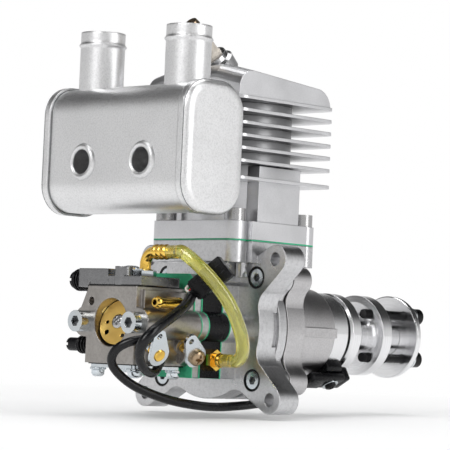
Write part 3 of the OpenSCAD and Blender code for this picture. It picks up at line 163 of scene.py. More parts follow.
# Heat-shrunk sleeve over the cable's last stretch, with narrowed ends and a slight waver
SLEEVE_START, SLEEVE_END = 21 * CABLE_STEPS, 27 * CABLE_STEPS - 2
SLEEVE_R = 2.15 * MM
NARROWED = 5
sleeve_line = cable_line[SLEEVE_START:SLEEVE_END]
sleeve = tube("cable_sleeve", sleeve_line, SLEEVE_R)
for i, point in enumerate(sleeve.data.splines[0].points):
    width = min(1.0, min(i, len(sleeve_line) - 1 - i) / NARROWED)
    point.radius *= 0.88 + 0.12 * width + 0.008 * math.sin(i * 0.9)
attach(sleeve, "engine")

# Pulse hose, held by a barb at each end
HOSE_R = 2.75 * MM
hose_points = [mm(*p) for p in (
    (17, -40, 28.4), (21.3, -40, 28.4), (24.5, -40, 28.3), (30, -38.2, 24.4), (34.2, -34, 18.8),
    (37.6, -29.5, 12.3), (39.4, -26, 6.2), (39.6, -22.5, 0.1), (38.4, -18.9, -5.4),
    (35.6, -16, -10.4), (32, -14.8, -12.9), (28.3, -14.75, -13.2), (24.4, -14.75, -13.2))]
hose = tube("hose_wall", smooth_line(hose_points, 10), HOSE_R, 32)
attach(hose, "engine")
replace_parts(hose, "pulse_hose")


# Shader values written as sums
class Field:
    """A value that changes over a surface. Sums on it add Math nodes."""

    def __init__(self, tree, socket):
        self.tree = tree
        self.socket = socket

    def beside(self, output):
        """Another output of the same node."""
        return Field(self.tree, self.socket.node.outputs[output])

    def joined(self, operation, first, second):
        return self.tree.node("Math", {"operation": operation}, [first, second])

    def __add__(self, other):
        return self.joined("ADD", self, other)

    def __sub__(self, other):
        return self.joined("SUBTRACT", self, other)

    def __rsub__(self, other):
        return self.joined("SUBTRACT", other, self)

    def __mul__(self, other):
        return self.joined("MULTIPLY", self, other)

    def __pow__(self, other):
        return self.joined("POWER", self, other)

    def wave(self):
        """The sine of the value."""
        return self.tree.node("Math", {"operation": "SINE"}, [self])

    def or_else(self, other):
        """The larger of two values."""
        return self.joined("MAXIMUM", self, other)


class Tree:
    """The nodes of a material or of the world."""

    def __init__(self, tree):
        self.nodes = tree.nodes
        self.links = tree.links

    def fill(self, socket, value):
        if isinstance(value, Field):
            self.links.new(value.socket, socket)
        else:
            socket.default_value = value

    def node(self, kind, settings, values, output=0):
        """A new node with its settings and inputs, given by one of its outputs."""
        made = self.nodes.new("ShaderNode" + kind)
        for name, setting in settings.items():
            setattr(made, name, setting)
        pairs = values.items() if isinstance(values, dict) else enumerate(values)
        for key, value in pairs:
            self.fill(made.inputs[key], value)
        return Field(self, made.outputs[output])

    def axes(self, place):
        """The X, Y and Z of a place."""
        x = self.node("SeparateXYZ", {}, [place], "X")
        return x, x.beside("Y"), x.beside("Z")

    def spread(self, value, low, high, to_low=0.0, to_high=1.0):
        """The part of the value from low to high, stretched to a new range."""
        return self.node("MapRange", {}, [value, low, high, to_low, to_high])

    def blend(self, factor, first, second, output):
        """Two shaders mixed, to be seen at the named output node."""
        mix = self.node("MixShader", {}, [factor, first, second])
        self.fill(self.nodes[output].inputs["Surface"], mix)

    def studio_rays(self):
        """One for the rays that see the background: the camera's, and those off metal and
        through glass."""
        camera = self.node("LightPath", {}, {}, "Is Camera Ray")
        return camera.or_else(camera.beside("Is Glossy Ray")).or_else(
            camera.beside("Is Transmission Ray"))


class Finish(Tree):
    """One material, built from its shader down."""

    def __init__(self, name, **fixed):
        self.material = bpy.data.materials.new(name)
        self.material.use_nodes = True
        super().__init__(self.material.node_tree)
        self.shader = self.nodes["Principled BSDF"]
        self.show(**fixed)

    def place(self):
        """The point on the piece, in metres."""
        return self.node("TexCoord", {}, {}, "Object")

    def noise(self, scale, detail=3, rough=0.55, place=None):
        return self.node("TexNoise", {}, {"Vector": place or self.place(), "Scale": scale,
                                          "Detail": detail, "Roughness": rough})

    def mixed(self, factor, first, second):
        """Two colours mixed."""
        return self.node("Mix", {"data_type": "RGBA"}, {0: factor, 6: first, 7: second}, 2)

    def clouded(self, pattern, colour, dark, light, low=0.3, high=0.7):
        """A colour that shifts with a pattern, between a darker and a lighter gain."""
        return self.mixed(self.spread(pattern, low, high), tint(colour, dark), tint(colour, light))

    def bump(self, height, strength, distance, soft_edge=0.0):
        """A normal for small relief, with the piece's edges rounded by soft_edge."""
        values = {"Strength": strength, "Distance": distance, "Height": height}
        if soft_edge:
            values["Normal"] = self.node("Bevel", {"samples": 6}, {"Radius": soft_edge})
        return self.node("Bump", {}, values)

    def show(self, **values):
        """Fills inputs of the shader and gives the material."""
        for name, value in values.items():
            self.fill(self.shader.inputs[name.replace("_", " ")], value)
        return self.material


def tint(colour, gain=1.0):
    return (*[min(1.0, c * gain) for c in colour], 1.0)


def cast_metal(name, colour, rough, grain, depth, patch=0.05):
    """Cast metal: a fine satin grain with small pits over slow cloudy patches."""
    f = Finish(name, Metallic=1.0)
    clouds = f.noise(60, 3)
    skin = f.noise(grain, 4, 0.65)
    coarse = f.noise(grain * 0.45, 3, 0.6)
    pits = f.spread(f.noise(grain * 0.35, 2), 0.66, 0.78)
    base = f.clouded(clouds, colour, 1 - patch, 1 + patch)
    base = f.mixed(f.spread(skin + coarse, 0.75, 1.1, 0.45, 0.0), base, tint(colour, 0.6))
    base = f.mixed(pits * 0.4, base, tint(colour, 0.42))
    roughness = f.spread(clouds, 0.3, 0.7, rough - 0.04, rough + 0.05)
    relief = f.bump(skin - pits, strength=0.35, distance=depth, soft_edge=0.0007)
    return f.show(Base_Color=base, Roughness=roughness, Normal=relief)


def finned_casting(name, colour):
    """The cylinder's casting: satin on fins and flange, with painted shade darkening the barrel in
    between.
    """
    f = Finish(name, Metallic=1.0)
    across, forward, height = f.axes(f.place())
    forward = forward - CYL_Y * MM
    reach = (across * across + forward * forward) ** 0.5
    barrel_shade = f.spread(reach, 0.0235, 0.0275, 1.0, 0.0)
    over_flange = f.spread(height, 0.057, 0.0665)
    under_head = f.spread(height, 0.0925, 0.094, 1.0, 0.0)
    skin = f.noise(1900, 4, 0.65)
    clouds = f.noise(60, 3)
    base = f.clouded(clouds, colour, 0.95, 1.05)
    base = f.mixed(f.spread(skin, 0.3, 0.55, 0.22, 0.0), base, tint(colour, 0.62))
    # Painted shade: the barrel between the fins, above the flange and under the head, is darkened
    # as if the fins shaded it
    base = f.mixed(barrel_shade * over_flange * under_head * 0.82, base, tint(colour, 0.18))
    roughness = f.spread(clouds, 0.3, 0.7, 0.3, 0.38)
    relief = f.bump(skin, strength=0.35, distance=0.00006, soft_edge=0.0004)
    return f.show(Base_Color=base, Roughness=roughness, Normal=relief)


def housing_casting(name, colour, bright):
    """The front housing: darker casting, with its front ring turned bright."""
    f = Finish(name, Metallic=1.0)
    forward = f.axes(f.place())[1]
    ring = f.spread(forward, HOUSING_RING_Y * MM, (HOUSING_RING_Y + 0.15) * MM)
    skin = f.noise(1500, 4, 0.65)
    clouds = f.noise(60, 3)
    grooves = (forward * 16000.0).wave() * ring
    base = f.clouded(clouds, colour, 0.94, 1.06)
    base = f.mixed(f.spread(skin, 0.35, 0.6, 0.4, 0.0), base, tint(colour, 0.6))
    base = f.mixed(ring, base, tint(bright))
    roughness = f.spread(clouds, 0.3, 0.7, 0.27, 0.35) - ring * 0.08
    relief = f.bump(skin * (1.0 - ring) + grooves * 0.15, strength=0.35, distance=0.0001,
                    soft_edge=0.0006)
    return f.show(Base_Color=base, Roughness=roughness, Normal=relief)


def blasted_metal(name, colour, rough):
    """Bead-blasted sheet: painted glints, as bright specks, scattered over a grainy dull skin."""
    f = Finish(name, Metallic=1.0)
    beads = f.noise(1500, 4, 0.75)
    painted_glints = f.spread(f.noise(1300, 2), 0.6, 0.7)
    base = f.clouded(f.noise(38, 2), colour, 0.96, 1.04)
    base = f.mixed(f.spread(beads, 0.36, 0.56, 0.4, 0.0), base, tint(colour, 0.6))
    # Painted glints: bright specks in the colour stand in for the sparkle of the blasted grain
    base = f.mixed(painted_glints * 0.16, base, tint(colour, 1.25))
    roughness = f.spread(beads, 0.35, 0.65, rough - 0.08, rough + 0.08)
    relief = f.bump(beads, strength=0.6, distance=0.00009, soft_edge=0.0012)
    return f.show(Base_Color=base, Roughness=roughness, Normal=relief)


def turned_metal(name, colour, rough):
    """Metal turned on a lathe: fine rings about the crankshaft's axis."""
    f = Finish(name, Metallic=1.0)
    pitch = 0.35 * MM
    across, forward, up = f.axes(f.place())
    radius = (across * across + up * up) ** 0.5
    rings = ((radius + forward) * (2 * math.pi / pitch)).wave()
    lathe_place = f.node("CombineXYZ", {}, [radius * 6.0, forward * 6.0, 0.0])
    fine = f.noise(240, 4, 0.6, lathe_place)
    smear = f.noise(40, 2)
    base = f.clouded(fine, colour, 0.95, 1.04, 0.35, 0.65)
    roughness = (f.spread(fine, 0.3, 0.7, rough - 0.03, rough + 0.05)
                 + f.spread(smear, 0.4, 0.7, 0.0, 0.03))
    relief = f.bump(rings * 0.3 + fine, strength=0.12, distance=0.000004, soft_edge=0.0003)
    return f.show(Base_Color=base, Roughness=roughness, Normal=relief)


def plated(name, colour, rough, second):
    """Bright plating with slow shifts of tint and faint handling marks."""
    f = Finish(name, Metallic=1.0)
    hue = f.spread(f.noise(90, 2), 0.35, 0.65)
    marks = f.noise(420, 3, 0.6)
    base = f.mixed(hue * 0.4, tint(colour), tint(second))
    base = f.mixed(f.spread(marks, 0.6, 0.75, 0.0, 0.14), base, tint(colour, 0.6))
    roughness = f.spread(marks, 0.35, 0.7, rough - 0.03, rough + 0.05)
    relief = f.bump(marks, strength=0.08, distance=0.00001, soft_edge=0.0001)
    return f.show(Base_Color=base, Roughness=roughness, Normal=relief)


def moulded(name, colour, rough, grain, depth=0.00002, light=1.2, edge=0.0003, shine=0.35):
    """Moulded plastic, rubber or ceramic with a fine skin and faint dust."""
    f = Finish(name, Specular_IOR_Level=shine)
    skin = f.noise(grain, 3)
    dust = f.noise(180, 5, 0.7)
    base = f.clouded(dust, colour, 0.9, light, 0.45, 0.75)
    roughness = f.spread(dust, 0.4, 0.7, rough - 0.04, rough + 0.08)
    relief = f.bump(skin, strength=0.25, distance=depth, soft_edge=edge)
    return f.show(Base_Color=base, Roughness=roughness, Normal=relief)


def gasket_paper(name, colour):
    """Pressed fibre sheet with a mottled face."""
    f = Finish(name, Roughness=0.6)
    fibre = f.noise(900, 5, 0.7)
    base = f.clouded(f.noise(140, 3), colour, 0.88, 1.12)
    base = f.mixed(f.spread(fibre, 0.55, 0.75, 0.0, 0.25), base, tint(colour, 0.65))
    return f.show(Base_Color=base, Normal=f.bump(fibre, strength=0.4, distance=0.00003))


def clear_hose(name, deep, pale):
    """Fuel hose: a clear, slightly waxy wall with a little haze."""
    f = Finish(name, Transmission_Weight=0.72, IOR=1.45, Coat_Weight=1.0, Coat_Roughness=0.03)
    haze = f.noise(160, 4)
    base = f.mixed(f.spread(haze, 0.3, 0.7), tint(deep), tint(pale))
    roughness = f.spread(haze, 0.3, 0.7, 0.05, 0.1)
    return f.show(Base_Color=base, Roughness=roughness,
                  Normal=f.bump(haze, strength=0.04, distance=0.00001))


# Finishes: how each is made, and its values
recipes = {
    "cast_aluminium": (cast_metal, dict(
        colour=(0.63, 0.63, 0.64), rough=0.3, grain=1500, depth=0.0001)),
    "finned_casting": (finned_casting, dict(colour=(0.7, 0.7, 0.715))),
    "housing_casting": (housing_casting, dict(
        colour=(0.56, 0.55, 0.555), bright=(0.82, 0.82, 0.83))),
    "blasted_aluminium": (blasted_metal, dict(colour=(0.79, 0.79, 0.795), rough=0.38)),
    "machined_aluminium": (turned_metal, dict(colour=(0.84, 0.84, 0.85), rough=0.2)),
    "carb_alloy": (cast_metal, dict(
        colour=(0.37, 0.35, 0.33), rough=0.3, grain=1400, depth=0.00011, patch=0.12)),
    "cover_alloy": (cast_metal, dict(
        colour=(0.26, 0.26, 0.265), rough=0.26, grain=1300, depth=0.00008, patch=0.08)),
    "spacer_alloy": (cast_metal, dict(
        colour=(0.45, 0.45, 0.45), rough=0.4, grain=1500, depth=0.00008, patch=0.06)),
    "zinc": (plated, dict(colour=(0.64, 0.69, 0.73), rough=0.2, second=(0.7, 0.69, 0.65))),
    "steel": (plated, dict(colour=(0.46, 0.46, 0.47), rough=0.24, second=(0.5, 0.49, 0.47))),
    # Dark steel: the colour of the muffler's seams, and painted shade as the liners of the screw
    # sockets
    "oiled_steel": (plated, dict(colour=(0.26, 0.27, 0.28), rough=0.3, second=(0.2, 0.19, 0.18))),
    "black_steel": (plated, dict(
        colour=(0.02, 0.02, 0.022), rough=0.3, second=(0.035, 0.033, 0.03))),
    "tarnished": (plated, dict(colour=(0.40, 0.30, 0.2), rough=0.26, second=(0.3, 0.24, 0.18))),
    "brass": (plated, dict(colour=(0.88, 0.57, 0.12), rough=0.19, second=(0.80, 0.46, 0.08))),
    "bright_brass": (plated, dict(
        colour=(1.0, 0.68, 0.2), rough=0.36, second=(0.96, 0.6, 0.15))),
    "copper": (plated, dict(colour=(0.42, 0.31, 0.20), rough=0.3, second=(0.36, 0.25, 0.15))),
    "ceramic": (moulded, dict(
        colour=(0.62, 0.57, 0.5), rough=0.2, grain=500, depth=0.00001, light=1.08, shine=0.5)),
    "black_plastic": (moulded, dict(
        colour=(0.006, 0.006, 0.007), rough=0.28, grain=1500, depth=0.00001, light=1.1,
        edge=0.0002, shine=0.18)),
    "black_rubber": (moulded, dict(
        colour=(0.004, 0.004, 0.005), rough=0.24, grain=700, depth=0.000006, light=1.1)),
    "black_gasket": (moulded, dict(colour=(0.03, 0.03, 0.03), rough=0.6, grain=1200)),
    "red_wire": (moulded, dict(colour=(0.55, 0.01, 0.01), rough=0.35, grain=900)),
    "white_wire": (moulded, dict(colour=(0.7, 0.7, 0.68), rough=0.35, grain=900, light=1.05)),
    "green_gasket": (gasket_paper, dict(colour=(0.045, 0.47, 0.24))),
    "yellow_hose": (clear_hose, dict(deep=(0.74, 0.70, 0.11), pale=(0.84, 0.81, 0.22))),
}
finishes = {name: make(name, **values) for name, (make, values) in recipes.items()}


def wear(obj, finish):
    """Gives a piece one finish."""
    if not obj.material_slots:
        obj.data.materials.append(finishes[finish])
    for slot in obj.material_slots:
        slot.link = "OBJECT"
        slot.material = finishes[finish]


def settle(obj, body, finish):
    """Puts a new piece on its body and finish."""
    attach(obj, body)
    wear(obj, finish)
    return obj


node_finish = {part["node"]: part["material_slot"] for part in frame["record"]["subparts"]}
node_finish.update(cylinder_block="finned_casting", front_housing="housing_casting",
                   pump_cover="cover_alloy", adapter_plate="spacer_alloy",
                   plug_terminal="tarnished", choke_plate="bright_brass")
for node, obj in frame["nodes"].items():
    wear(obj, node_finish[node])
wear(cable, "black_rubber")
wear(sleeve, "black_rubber")
wear(hose, "yellow_hose")


# Pieces made of lines: coils, threads, wires and seams
def along(axis, spot, s, r, angle):
    """A point s along an axis from a spot, at radius r and an angle about it, in metres."""
    axis = Vector(axis).normalized()
    side = axis.cross(Vector(FRONT if abs(axis.z) > 0.99 else UP)).normalized()
    other = axis.cross(side)
    return Vector(spot) + axis * s + side * (r * math.cos(angle)) + other * (r * math.sin(angle))


def coil(axis, spot, radius, pitch, turns, rest=0.0):
    """A helix, with flat closing turns at its ends where rest is given."""
    steps = 20
    line = []
    for i in range(turns * steps + 1):
        turn = i / steps
        rise = pitch * min(max(turn - rest, 0.0), turns - 2 * rest)
        line.append(along(axis, spot, rise, radius, 2 * math.pi * turn))
    return line


def wires(name, body, finish, lines, radius, sides=12):
    """One piece made of several round wires."""
    obj = tube(name, lines[0], radius, sides)
    for line in lines[1:]:
        add_line(obj.data, line, radius)
    return settle(obj, body, finish)


idle_spot = mm(-21.2, CARB_REAR + 11, 16.8)
mixture_spot = mm(-14.2, CARB_REAR + 9.5, -9.2)
springs = wires("adjuster_coils", "engine", "black_steel", [
    coil(LEFT, idle_spot, radius=4.1 * MM, pitch=1.5 * MM, turns=9, rest=1),
    coil(LEFT, mixture_spot, radius=3.3 * MM, pitch=1.75 * MM, turns=9, rest=1)], 0.45 * MM)
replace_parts(springs, "adjuster_springs")

# Threads of the propeller bolts, from their tips to the plain part of the shank
BOLT_PLACES = [(BOLT_CIRCLE_R * math.cos(a), BOLT_CIRCLE_R * math.sin(a))
               for a in (math.radians(45 + 90 * i) for i in range(4))]
wires("bolt_threads", "crank", "black_steel", [
    coil(FRONT, mm(x, BOLT_TIP_Y, z), radius=1.95 * MM, pitch=0.7 * MM, turns=22)
    for x, z in BOLT_PLACES], 0.18 * MM, 8)


# Pieces made of faces
def made_of(bm, name, body, finish, split=None):
    """A piece made of a filled mesh. With a split it is smooth but at edges sharper than that,
    in degrees."""
    mesh = bpy.data.meshes.new(name)
    bm.to_mesh(mesh)
    bm.free()
    obj = add_object(name, mesh)
    if split:
        mesh.polygons.foreach_set("use_smooth", [True] * len(mesh.polygons))
        obj.modifiers.new("edges", "EDGE_SPLIT").split_angle = math.radians(split)
    return settle(obj, body, finish)


def join_rings(bm, low, high):
    """Faces between two rings with as many points."""
    for k in range(len(low)):
        n = (k + 1) % len(low)
        bm.faces.new((low[k], high[k], high[n], low[n]))


def bevel(bm, edges, width, segments):
    bmesh.ops.bevel(bm, geom=edges, offset=width, segments=segments, affect="EDGES", profile=0.5)


def turned(name, body, finish, parts, steps=48):
    """Profiles turned about axes. A part is (axis, spot, [(s, r), ...] in millimetres)."""
    bm = bmesh.new()
    angles = [2 * math.pi * k / steps for k in range(steps)]
    for axis, spot, profile in parts:
        rings = [[bm.verts.new(along(axis, spot, s * MM, max(r, 0.001) * MM, a)) for a in angles]
                 for s, r in profile]
        for low, high in zip(rings, rings[1:]):
            join_rings(bm, low, high)
        if profile[0] != profile[-1]:
            bm.faces.new(rings[0])
            bm.faces.new(rings[-1])
    bmesh.ops.remove_doubles(bm, verts=bm.verts, dist=1e-7)
    bmesh.ops.recalc_face_normals(bm, faces=bm.faces)
    return made_of(bm, name, body, finish, split=32)


# Brass skins of the two shafts between their bosses and levers, with the choke's riveted end
for name, body, y in (("choke_shaft_skin", "choke", CHOKE_Y),
                      ("throttle_shaft_skin", "throttle", THROTTLE_Y)):
    turned(name, body, "brass", [(SHAFT, mm(0, y, 0), [
        (17.7, 0), (17.7, 2.24), (20.4, 2.24), (20.6, 2.05), (21.2, 2.05), (21.4, 2.24),
        (24.98, 2.24), (24.98, 0)])])
turned("choke_rivet", "choke", "brass", [(SHAFT, mm(0, CHOKE_Y, 0), [
    (26.15, 0), (26.15, 2.5), (26.5, 2.5), (26.8, 2.2), (26.85, 1.2), (26.75, 1.0), (26.75, 0)])])

# Black rings round the heads of the case screws
turned("screw_rings", "engine", "black_rubber", [(FRONT, mm(x, 0, z), [
    (-0.1, 3.6), (0.25, 3.9), (0.25, 4.35), (-0.1, 4.5), (-0.25, 4.2), (-0.1, 3.6)])
    for x, z in CASE_SCREWS])


# Screw heads with a cross recess
def clamp(value):
    return min(max(value, 0), 1)


def cross_head(name, body, finish, parts):
    """Pan heads with a cross. A part is (axis, spot of the seat, radius, height), the last two
    in millimetres."""
    bm = bmesh.new()
    rows, steps = 26, 96
    angles = [2 * math.pi * k / steps for k in range(steps)]
    for axis, spot, radius, height in parts:
        arm, wide = radius * 0.62, radius * 0.13
        grid = []
        for i in range(rows + 1):
            r = radius * i / rows
            ring = []
            for a in angles if i else angles[:1]:
                near = min(abs(r * math.cos(a)), abs(r * math.sin(a)))
                depth = clamp((wide * 1.5 - near) / (wide * 0.8)) * clamp((arm - r) / (wide * 2))
                top = height * (1 - 0.45 * (r / radius) ** 4 - 0.62 * depth)
                ring.append(bm.verts.new(along(axis, spot, top * MM, r * MM, a)))
            grid.append(ring)
        skirt = [bm.verts.new(along(axis, spot, 0, radius * MM, a)) for a in angles]
        for k in range(steps):
            bm.faces.new((grid[0][0], grid[1][k], grid[1][(k + 1) % steps]))
        for low, high in zip(grid[1:], grid[2:] + [skirt]):
            join_rings(bm, low, high)
        bm.faces.new(skirt)
    bmesh.ops.recalc_face_normals(bm, faces=bm.faces)
    return made_of(bm, name, body, finish, split=50)


def tilted(degrees):
    """The direction out of a butterfly's rear face, at a tilt about its shaft."""
    a = math.radians(degrees)
    return Vector(REAR) * math.cos(a) + ACROSS_SHAFT * math.sin(a)


metering_heads = cross_head("metering_screw_heads", "engine", "zinc", [
    (DOWN, mm(x, y, METERING_SEAT - 1.1), 2.6, 2.6) for x, y in METERING_SCREWS])
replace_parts(metering_heads, "metering_screws")
turned("metering_washers", "engine", "zinc", [(DOWN, mm(x, y, METERING_SEAT), [
    (0, 1.4), (0, 3.1), (0.15, 3.25), (0.75, 3.25), (0.9, 3.0), (1.1, 2.7), (1.1, 1.4), (0, 1.4)])
    for x, y in METERING_SCREWS])
pump_head = cross_head("pump_screw_head", "engine", "zinc", [
    (UP, mm(-5.5, CARB_REAR + 15, 21.1), 3.4, 1.9)])
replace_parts(pump_head, "pump_screw")

# Screws of the two butterflies, and of the throttle's lever. Each butterfly lies with one face in
# its shaft's axis, and its screw sits on the other.
BUTTERFLY = 0.8
THROTTLE_LEVER = 26.2
throttle_out = tilted(-12)
throttle_heads = cross_head("throttle_screw_heads", "throttle", "copper", [
    (SHAFT, mm(0, THROTTLE_Y, 0) + SHAFT * THROTTLE_LEVER * MM, 3.3, 2.4),
    (throttle_out, mm(0, THROTTLE_Y, 0) + throttle_out * BUTTERFLY * MM, 2.6, 1.6)])
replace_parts(throttle_heads, "throttle_screws")
choke_out = tilted(-20)
choke_head = cross_head("choke_screw_head", "choke", "steel", [
    (choke_out, mm(0, CHOKE_Y, 0) + choke_out * BUTTERFLY * MM, 2.9, 1.7)])
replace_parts(choke_head, "choke_screw")

# Choke plate: a brass disc with three drilled holes, the screw's hole and a broken edge.
# A row is a circle's place on the disc, its radius and its steps.
DISC_CIRCLES = ((0, 0, 9.33, 96), (0, 0, 0.9, 24), (-5.0, -3.0, 0.75, 24),
                (-2.3, -6.3, 1.05, 24), (5.3, -3.3, 0.85, 24))


def choke_disc(out):
    """The disc, facing the given direction."""
    up = out.cross(SHAFT)
    up *= 1 if up.z > 0 else -1
    bm = bmesh.new()
    for u, v, radius, steps in DISC_CIRCLES:
        ring = [bm.verts.new((u + radius * math.cos(a), v + radius * math.sin(a), 0))
                for a in (2 * math.pi * k / steps for k in range(steps))]
        for k in range(steps):
            bm.edges.new((ring[k], ring[(k + 1) % steps]))
    bmesh.ops.triangle_fill(bm, use_beauty=True, edges=bm.edges[:])
    face = bmesh.ops.extrude_face_region(bm, geom=bm.faces[:])["geom"]
    bmesh.ops.translate(bm, vec=(0, 0, BUTTERFLY),
                        verts=[v for v in face if isinstance(v, bmesh.types.BMVert)])
    bmesh.ops.recalc_face_normals(bm, faces=bm.faces)
    bevel(bm, [e for e in bm.edges if e.is_manifold and e.calc_face_angle(0) > 1], 0.13, 2)
    for v in bm.verts:
        v.co = mm(0, CHOKE_Y, 0) + (SHAFT * v.co.x + up * v.co.y + out * v.co.z) * MM
    return made_of(bm, "choke_disc", "choke", "bright_brass")


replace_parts(choke_disc(choke_out), "choke_plate")

# Muffler: the seams of its pressed caps, and the collars of its two access tubes
CAP_CORNER_R = 11
CAP_SEAMS = ((37.1, 0.12), (40.25, 0.72))
ACCESS_R = 6.5
shell_low, shell_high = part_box("muffler_shell")
access_low, access_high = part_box("access_tubes")


def cap_outline(x, grow):
    """The caps' rounded outline across X, larger than the shell by grow, in millimetres."""
    line = []
    corner = (CAP_CORNER_R + grow) * MM
    for k, (sy, sz) in enumerate(((1, 1), (-1, 1), (-1, -1), (1, -1))):
        y = (shell_high[1] if sy > 0 else shell_low[1]) + sy * (grow * MM - corner)
        z = (shell_high[2] if sz > 0 else shell_low[2]) + sz * (grow * MM - corner)
        for i in range(13):
            a = math.radians(90 * k + 7.5 * i)
            line.append(Vector((x * MM, y + corner * math.cos(a), z + corner * math.sin(a))))
    return line + [line[0]]


wires("muffler_seams", "engine", "oiled_steel", [
    cap_outline(side * x, grow) for side in (-1, 1) for x, grow in CAP_SEAMS], 0.26 * MM, 8)
access_x = access_high[0] - ACCESS_R * MM
access_z = (access_low[2] + access_high[2]) / 2
turned("access_collars", "engine", "blasted_aluminium", [
    (REAR, (side * access_x, shell_low[1], access_z), [
        (-0.3, 6.3), (-0.3, 7.5), (0.05, 7.45), (0.35, 7.2), (0.95, 6.75), (1.25, 6.5),
        (1.35, 6.1), (1.2, 5.6), (0.95, 5.35), (0.6, 5.2), (-0.3, 5.2), (-0.3, 6.3)])
    for side in (-1, 1)])

# Fuel nipple: a straight barb on a short foot beside the carburettor
FUEL_X, FUEL_Y, FUEL_Z = 15.6, CARB_REAR + 19, 8.3
nipple = turned("fuel_nipple", "engine", "brass", [
    (REAR, mm(FUEL_X + 4.2, FUEL_Y, FUEL_Z), [
        (-2.4, 0), (-2.4, 1.5), (-2, 1.95), (3, 1.95), (7.5, 1.95), (9.6, 2.05), (11.2, 2.2),
        (12.4, 2.45), (13, 2.5), (13.5, 2.35), (14.2, 2.0), (14.5, 1.8), (14.5, 1.15),
        (4, 1.15), (4, 0)]),
    (RIGHT, mm(FUEL_X - 4, FUEL_Y, FUEL_Z), [
        (0, 0), (0, 1.9), (4, 1.9), (4, 2.5), (7.2, 2.5), (7.5, 2.2), (7.5, 0)])])
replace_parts(nipple, "fuel_elbow")


# Painted shade: dark steel liners in the sockets of the hexagon screws
def socket_shades(name, rows):
    """Dark liners that paint shade into hexagon sockets that open to the rear. A row is the
    floor's place, then the radius and depth in millimetres."""
    turned(name, "engine", "oiled_steel", [(REAR, spot, [
        (0.02, 0), (0.02, r - 0.04), (deep, r - 0.04), (deep, r - 0.12), (0.12, r - 0.12),
        (0.12, 0)]) for spot, r, deep in rows], 6)


socket_shades("carb_socket_shades", [(mm(sx * 15.5, CARB_REAR - 2.25, 0), 2.3, 2.3) for sx in (-1, 1)])
socket_shades("case_socket_shades", [(mm(x, 2.4, z), 1.84, 1.8) for x, z in CASE_SCREWS])


# Moulded pieces
def shell(bm, low, high, edge):
    """A block between two corners, with edges rounded to a radius, in millimetres."""
    size = Vector(high) - Vector(low)
    made = bmesh.ops.create_cube(bm, size=1)["verts"]
    for v in made:
        v.co = Vector(low) + Vector((size[i] * (v.co[i] + 0.5) for i in range(3)))
    bevel(bm, list(dict.fromkeys(e for v in made for e in v.link_edges)), edge, 3)


def moulding(name, finish, fill, spot, turn):
    """One piece, filled in its own frame in millimetres, then turned and put at its spot."""
    bm = bmesh.new()
    fill(bm)
    for v in bm.verts:
        v.co = spot + turn @ v.co * MM
    return made_of(bm, name, "engine", finish, split=32)


def connector_shells(bm):
    """The cable's connector: two ribbed shells on a neck."""
    shell(bm, (1.6, -2.5, -4.3), (7.6, 2.5, 4.3), 0.35)
    shell(bm, (0.7, -1.9, -3.9), (1.9, 1.9, 3.9), 0.3)
    shell(bm, (7.2, -2.1, -3.8), (9.2, 2.1, 3.8), 0.2)
    shell(bm, (8.6, -2.9, -4.75), (17.5, 2.9, 4.75), 0.45)
    for side in (-1, 1):
        for i in range(9):
            z = -3.6 + 0.9 * i
            shell(bm, (5.2, side * 2.5 - 0.3, z - 0.24), (7.3, side * 2.5 + 0.3, z + 0.24), 0.1)
        for z in (-1.6, 1.6):
            shell(bm, (9.6, side * 2.9 - 0.25, z - 0.3), (16.2, side * 2.9 + 0.25, z + 0.3), 0.12)
    shell(bm, (12.2, -3.2, -0.6), (13.4, -2.8, 0.6), 0.1)


plug_turn = (Matrix.Rotation(math.radians(31), 3, "Z")
             @ Matrix.Rotation(math.radians(-40), 3, "Y"))
shells = moulding("connector_shells", "black_plastic", connector_shells, cable_end, plug_turn)
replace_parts(shells, "cable_connector")

# The three wires between the sleeve and the connector
for name, finish, z in (("wire_white", "white_wire", 3.0), ("wire_red", "red_wire", 1.2),
                        ("wire_black", "black_rubber", -1.2)):
    ends = [cable_line[SLEEVE_END - 6], cable_line[SLEEVE_END - 2]]
    ends += [cable_end + plug_turn @ mm(*p)
             for p in ((-0.9, -1.3, z * 0.8), (0.3, -1.3, z), (1.2, -1.2, z))]
    wires(name, "engine", finish, [smooth_line(ends, 5)],
                             0.55 * MM)
length_of(cable_line)

# Washers under the heads of the propeller bolts
turned("bolt_washers", "crank", "zinc", [(FRONT, mm(x, FRONT_WASHER_Y, z), [
    (0, 3.5), (0, 3.95), (0.1, 4.06), (1.25, 4.06), (1.35, 3.76), (1.5, 3.76), (1.6, 3.62),
    (1.7, 3.76), (2.8, 3.76), (2.9, 3.66), (2.9, 3.5), (0, 3.5)]) for x, z in BOLT_PLACES])

# Pulse elbow: a zinc nut, a bent brass pipe and three beads before the hose
ELBOW_X, ELBOW_Y, ELBOW_TOP = 3.5, -40, 28.4
BEND_R = 5
bend = [mm(ELBOW_X, ELBOW_Y, z) for z in (19, 20.5, 22, 23.4)]
bend += [mm(ELBOW_X + BEND_R * (1 - math.cos(a)), ELBOW_Y, ELBOW_TOP - BEND_R * (1 - math.sin(a)))
         for a in (math.radians(9 * i) for i in range(1, 11))]
bend.append(mm(ELBOW_X + 6.4, ELBOW_Y, ELBOW_TOP))
elbow = wires("elbow_pipe", "engine", "brass", [bend], 2.25 * MM, 32)
beads = turned("elbow_beads", "engine", "brass", [
    (RIGHT, mm(ELBOW_X, ELBOW_Y, ELBOW_TOP), [
        (4.8, 0), (4.8, 2.25), (5.2, 2.6), (5.6, 2.95), (6.4, 3.1), (7.2, 2.9), (7.6, 2.5),
        (8.0, 2.5), (8.4, 2.9), (9.1, 3.1), (9.9, 2.9), (10.3, 2.5), (10.7, 2.5), (11.1, 2.9),
        (11.9, 3.1), (12.6, 2.9), (13.2, 2.4), (14, 1.95), (17.4, 1.9), (17.4, 1.1),
        (10, 1.1), (10, 0)])])
